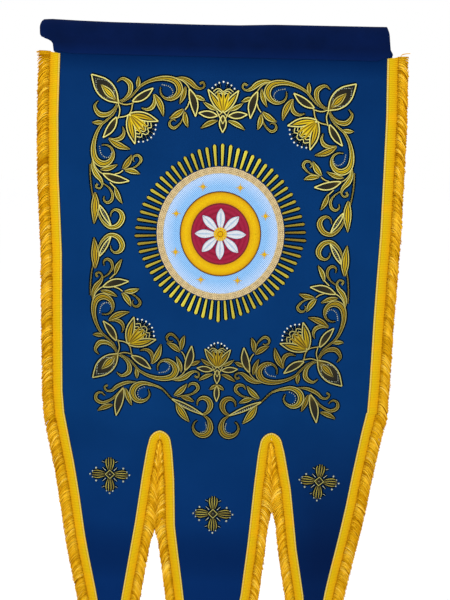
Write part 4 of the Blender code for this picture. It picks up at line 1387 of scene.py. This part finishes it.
# painted shade: the silver darkens towards each strand's edge
body = ramp(tree, lines["Across"], [(0.0, rgb(186, 192, 176)), (0.7, rgb(150, 156, 142)), (1.0, rgb(70, 76, 80))])
finish_with(silver_thread, body, lines["Ridge"], 0.0002, 0.7)
# painted shade: the dark stop at each band's edge
cross_olive = gold_satin("cross_olive", [
    (0.00, rgb(150, 140, 52)), (0.50, rgb(168, 158, 66)), (0.75, rgb(184, 178, 96)), (1.00, rgb(50, 50, 26)),
], rgb(176, 160, 140))
sew_on("crosses_gold", cross_gold, cross_olive, "gold_cord")
sew_on("crosses_silver", cross_silver, silver_thread, "gold_cord")
sew_on("silver_stamens", silver_strips, silver_thread, "gold_cord")

# %% [markdown]
# Under every band lies dark felt, which pads it and shows as a thin dark line round it: painted shadow
# round each band. The open leaves are filled with dark net, which is drawn here as crossing threads on
# a thin plate, golden towards the leaf's base. Felt and net are strips like all the rest, only flatter.

# %% Felt and net
shadow_felt = material("shadow_felt", 0.95, Specular_IOR_Level=0.0)
tree = shadow_felt.node_tree
fluff = node(tree, "TexNoise", node(tree, "TexCoord").outputs["Object"], None, 900.0, 3.0)
finish_with(shadow_felt, blend(tree, fluff.outputs[0], rgb(1, 8, 18), rgb(4, 16, 32)), fluff.outputs[0], 0.0004, 0.8)
olive_net = material("olive_net", 0.6, Specular_IOR_Level=0.05)
tree = olive_net.node_tree
lines = use(tree, threads, Pitch=0.0016, Slant=0.0010)
dense = ramp(tree, lines["Share"], [(0.0, rgb(126, 104, 28)), (0.25, rgb(60, 54, 32)), (1.0, rgb(28, 34, 38))])
dark = blend(tree, 1.0, dense, rgb(90, 90, 110), "MULTIPLY")
finish_with(olive_net, blend(tree, lines["Ridge"], dark, dense), lines["Ridge"], 0.0004, 0.8)
felt_shadow = sew_on("felt_under_stitches", felt_shadow_strips, shadow_felt, "dark_cloth")
sew_on("leaf_nets", net_plates, olive_net, "gold_cord")

# %% [markdown]
# White pearls are sewn over the flowers, and silver beads along the scrolls and round the crosses. One small sphere is modelled, flattened at
# the back where it lies on the cloth, and copied with an Array modifier, one copy for each place.

# %% Pearls
def pearls_at(name, places, finish):
    """One piece of many small pearls, each at its place and of its own half size."""
    bpy.ops.object.select_all(action="DESELECT")
    bpy.ops.mesh.primitive_uv_sphere_add(segments=8, ring_count=5, radius=1, location=(0, 0, 0))
    made = bpy.context.object
    copies = made.modifiers.new("copies", "ARRAY")
    copies.count = len(places)
    copies.use_relative_offset = False
    bpy.ops.object.modifier_apply(modifier="copies")
    spots = points_of(made).reshape(len(places), -1, 3)
    middle = np.array([spot for spot, _ in places])
    size = np.array([half for _, half in places])[:, None] / 1000
    x = middle[:, None, 0] + spots[..., 0] * size
    z = middle[:, None, 1] + spots[..., 2] * size
    y = cloth_front(middle[:, 0], middle[:, 1])[:, None] - size * 0.75 + spots[..., 1] * size * 0.9
    set_points(made, np.stack((x, y, z), -1).reshape(-1, 3))
    return sew_on(name, [made], finish, "gold_cord")


pearl_white = material("pearl_white", 0.25, Coat_Weight=0.3, Coat_Roughness=0.15)
tree = pearl_white.node_tree
cloud = node(tree, "TexNoise", node(tree, "TexCoord").outputs["Object"], None, 260.0, 2.0)
body = ramp(tree, cloud.outputs[0], [(0.3, rgb(176, 182, 166)), (0.7, rgb(226, 230, 220))])
finish_with(pearl_white, body)
bead_silver = material("bead_silver", 0.3, Specular_IOR_Level=0.3)
tree = bead_silver.node_tree
cloud = node(tree, "TexNoise", node(tree, "TexCoord").outputs["Object"], None, 200.0, 2.0)
body = ramp(tree, cloud.outputs[0], [(0.3, rgb(112, 118, 100)), (0.7, rgb(176, 184, 168))])
finish_with(bead_silver, body)
pearls_at("flower_pearls", [each for each in pearl_places if each[1] > 1.5], pearl_white)
pearls_at("bead_rows", [each for each in pearl_places if each[1] < 1.5], bead_silver)
pearls_at("cross_beads", cross_pearls, bead_silver)

# %% [markdown]
# The medallion's rim is a thick plait of metallic cord. A torus is the natural start: four of them
# lie side by side, each laid on its own ellipse, with a radius that swells and thins as the strands
# of a twisted cord do.

# %% Corded rim
RIM_WIDTH = 12.6
CORDS = 4
CORD_RADIUS = 1.68
CORD_TURNS = 210
CORD_STEPS, CORD_SIDES = 1260, 8
rim_cords = []
for k in range(CORDS):
    bpy.ops.object.select_all(action="DESELECT")
    bpy.ops.mesh.primitive_torus_add(
        major_segments=CORD_STEPS, minor_segments=CORD_SIDES, major_radius=1, minor_radius=0.1, location=(0, 0, 0)
    )
    cord = bpy.context.object
    spots = points_of(cord)
    turn = np.arctan2(spots[:, 1], spots[:, 0])
    round_it = np.arctan2(spots[:, 2], np.hypot(spots[:, 0], spots[:, 1]) - 1)
    hand = 1 if k % 2 else -1
    swell = 1 + 0.16 * np.cos(2 * round_it - hand * CORD_TURNS * turn)
    inset = RIM_WIDTH / CORDS * (k + 0.5) - CORD_RADIUS * swell * np.cos(round_it)
    x = CENTRE_X + (RIM_ACROSS - inset) / 1000 * np.cos(turn)
    z = CENTRE_Z + (RIM_UP - inset) / 1000 * np.sin(turn)
    y = cloth_front(x, z) - (CORD_RADIUS * 0.9 + CORD_RADIUS * swell * np.sin(round_it)) / 1000
    set_points(cord, np.stack((x, y, z), 1))
    about = turn * 0.127
    stitch = np.stack((about, round_it / math.pi, np.full(len(turn), k / CORDS)), 1)
    cord.data.attributes.new("stitch", "FLOAT_VECTOR", "POINT").data.foreach_set("vector", stitch.astype(np.float32).ravel())
    toned = cord.data.attributes.new("tone", "FLOAT", "POINT")
    toned.data.foreach_set("value", np.full(len(turn), k / CORDS, dtype=np.float32))
    rim_cords.append(cord)
cord_beige = material("cord_beige", 0.5, Specular_IOR_Level=0.08)
tree = cord_beige.node_tree
lines = use(tree, threads, Pitch=0.0038, Slant=0.0038)
# painted shade and light: darker in the twist's grooves, paler on its crests
body = blend(tree, lines["Ridge"], rgb(150, 124, 76), rgb(216, 200, 156))
speckle = node(tree, "TexNoise", node(tree, "TexCoord").outputs["Object"], None, 520.0, 1.0)
body = blend(tree, ramp(tree, speckle.outputs[0], [(0.42, rgb(0, 0, 0)), (0.62, rgb(120, 120, 120))]), body, rgb(168, 130, 96))
finish_with(cord_beige, body, lines["Ridge"], 0.0003, 0.8)
rim = sew_on("corded_rim", rim_cords, cord_beige, "gold_cord", ["medallion_ring"])

# %% [markdown]
# The round inside the rim carries plain ornament of its own: a netted pale ground, a gold ring, a
# crimson field, a white rosette and small stars. The ground is a disc cut into rings by Inset, laid
# on the cloth, and the rest is satin in the same kind of bands as the border.

# %% Medallion: the ground
DISC_THICKNESS = 1.2
DISC_RINGS = 8
bpy.ops.object.select_all(action="DESELECT")
bpy.ops.mesh.primitive_circle_add(vertices=96, radius=1, fill_type="NGON", location=(0, 0, 0))
disc = bpy.context.object
disc.name = "medallion_ground"
bpy.ops.object.mode_set(mode="EDIT")
bpy.ops.mesh.select_mode(type="FACE")
bpy.ops.mesh.select_all(action="SELECT")
for _ in range(DISC_RINGS - 1):
    bpy.ops.mesh.inset(thickness=1 / DISC_RINGS)
bpy.ops.mesh.poke()
bpy.ops.mesh.select_all(action="SELECT")
bpy.ops.mesh.extrude_region_move(TRANSFORM_OT_translate={"value": (0, 0, 1)})
bpy.ops.mesh.select_all(action="SELECT")
bpy.ops.mesh.normals_make_consistent(inside=False)
bpy.ops.object.mode_set(mode="OBJECT")
spots = points_of(disc)
inside = RIM_WIDTH - 0.4
x = CENTRE_X + spots[:, 0] * (RIM_ACROSS - inside) / 1000
z = CENTRE_Z + spots[:, 1] * (RIM_UP - inside) / 1000
y = cloth_front(x, z) - (DISC_THICKNESS * spots[:, 2] + 0.1) / 1000
set_points(disc, np.stack((x, y, z), 1))
only(disc)
bpy.ops.object.mode_set(mode="EDIT")
bpy.ops.mesh.select_all(action="SELECT")
bpy.ops.mesh.normals_make_consistent(inside=False)
bpy.ops.object.mode_set(mode="OBJECT")
bpy.ops.object.shade_smooth_by_angle(angle=math.radians(40))
sky_net = material("sky_net", 0.6, Specular_IOR_Level=0.05)
tree = sky_net.node_tree
parts = node(tree, "SeparateXYZ", node(tree, "TexCoord").outputs["Object"])
rising = maths(tree, "SINE", maths(tree, "MULTIPLY", maths(tree, "ADD", parts.outputs[0], parts.outputs[2]), 1500.0))
falling = maths(tree, "SINE", maths(tree, "MULTIPLY", maths(tree, "SUBTRACT", parts.outputs[0], parts.outputs[2]), 1500.0))
net = maths(tree, "MAXIMUM", rising, falling)
off_x = maths(tree, "DIVIDE", maths(tree, "SUBTRACT", parts.outputs[0], CENTRE_X), RIM_ACROSS / 1000)
off_z = maths(tree, "DIVIDE", maths(tree, "SUBTRACT", parts.outputs[2], CENTRE_Z), RIM_UP / 1000)
far = maths(tree, "SQRT", maths(tree, "ADD", maths(tree, "MULTIPLY", off_x, off_x), maths(tree, "MULTIPLY", off_z, off_z)))
pale = blend(tree, node(tree, "MapRange", far, 0.72, 0.90, 0.0, 1.0).outputs[0], rgb(142, 186, 224), rgb(206, 216, 232))
body = blend(tree, node(tree, "MapRange", net, 0.3, 0.95, 0.0, 1.0).outputs[0], rgb(96, 142, 192), pale)
finish_with(sky_net, body, net, 0.0003, 0.8)
only(disc)
disc.data.materials.append(sky_net)
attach(disc, "root")
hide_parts("medallion_disc")
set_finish(disc, "medallion")
print("ground faces:", len(disc.data.polygons))

# %% Medallion: rings, rosette and stars
def satin(name, across_colours, pitch=0.0007):
    """A satin finish whose colours go from a band's middle to its edge; the darker edge colour is painted shade on the
    band's rounded sides.
    """
    made = material(name, 0.5, Specular_IOR_Level=0.06)
    tree = made.node_tree
    lines = use(tree, threads, Pitch=pitch, Slant=0.0)
    body = ramp(tree, lines["Across"], across_colours)
    deeper = blend(tree, 1.0, body, rgb(190, 180, 180), "MULTIPLY")
    body = blend(tree, maths(tree, "MULTIPLY", lines["Unevenness"], 0.5), body, deeper)
    return finish_with(made, body, lines["Ridge"], 0.00022, 0.7)


def ring_marks(radius, half):
    """A closed ring that follows the medallion's slightly tall shape."""
    turns = np.linspace(0, math.tau * 1.01, 49)       # the end lies over the start
    return [(radius * math.cos(t), radius * RIM_UP / RIM_ACROSS * math.sin(t), half) for t in turns]


crimson = satin("satin_crimson", [(0.0, rgb(150, 30, 60)), (0.7, rgb(136, 22, 50)), (1.0, rgb(104, 14, 38))])
white = satin("satin_white", [(0.0, rgb(150, 176, 200)), (0.2, rgb(206, 212, 218)), (0.7, rgb(214, 214, 214)), (0.85, rgb(120, 168, 206)), (1.0, rgb(60, 96, 140))])
brown = satin("satin_brown", [(0.0, rgb(96, 50, 26)), (1.0, rgb(60, 28, 16))])
FIELD_LIFT = 1.35
crimson_rings = [band(round_medallion, ring_marks(radius, 5.8), "bar", height=0.6, lift=FIELD_LIFT, felt_shadow=False) for radius in (5, 15, 25, 35, 45, 53)]
sew_on("medallion_field", crimson_rings, crimson, "medallion")
amber = satin("satin_amber", [(0.0, rgb(216, 176, 4)), (0.7, rgb(206, 158, 4)), (1.0, rgb(170, 118, 6))])
gold_rings = [band(round_medallion, ring_marks(67, 11.2), "bar", height=1.0, lift=FIELD_LIFT, felt_shadow=False)]
stars = []
for i in range(8):
    turn = math.tau * (i + 0.5) / 8
    middle = np.array((94 * math.cos(turn), 98 * math.sin(turn)))
    for k in range(4):
        way = np.array((math.cos(math.pi * k / 4), math.sin(math.pi * k / 4))) * (9 if k % 2 == 0 else 6)
        stars.append(band(round_medallion, [(*(middle - way), 0.3), (*middle, 1.4), (*(middle + way), 0.3)], "bar", height=0.9, lift=FIELD_LIFT, felt_shadow=False))
sew_on("medallion_gold", gold_rings + stars, amber, "medallion")
outlines = [band(round_medallion, ring_marks(radius, 0.9), "bar", height=1.4, lift=FIELD_LIFT, felt_shadow=False) for radius in (56, 78.5)]
sew_on("medallion_outlines", outlines, brown, "medallion")
petals = []
for i in range(8):
    turn = math.tau * i / 8
    way = np.array((math.cos(turn), math.sin(turn)))
    petals.append(band(round_medallion, [(*(way * r), half) for r, half in ((9, 2.0), (18, 6.0), (30, 8.5), (40, 7.0), (47, 3.0), (50, 0.4))], "veined", height=1.4, lift=FIELD_LIFT + 0.5, felt_shadow=False))
sew_on("medallion_rosette", petals, white, "medallion")
boss = [band(round_medallion, ring_marks(radius, 2.6), "bar", height=1.4, lift=FIELD_LIFT + 0.6, felt_shadow=False) for radius in (2.5, 7.5, 11)]
sew_on("medallion_boss", boss, amber, "medallion")

# %% [markdown]
# The strips that all bands were copied from have done their work and go.

# %% Clearing away, and the end
for master, _ in strips.values():
    bpy.data.objects.remove(master)
trimmings = [o for o in bpy.data.objects if o.get("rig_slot") in ("gold_fringe", "gold_cord", "medallion")]
trimmings += [fringe_tape, felt_shadow]
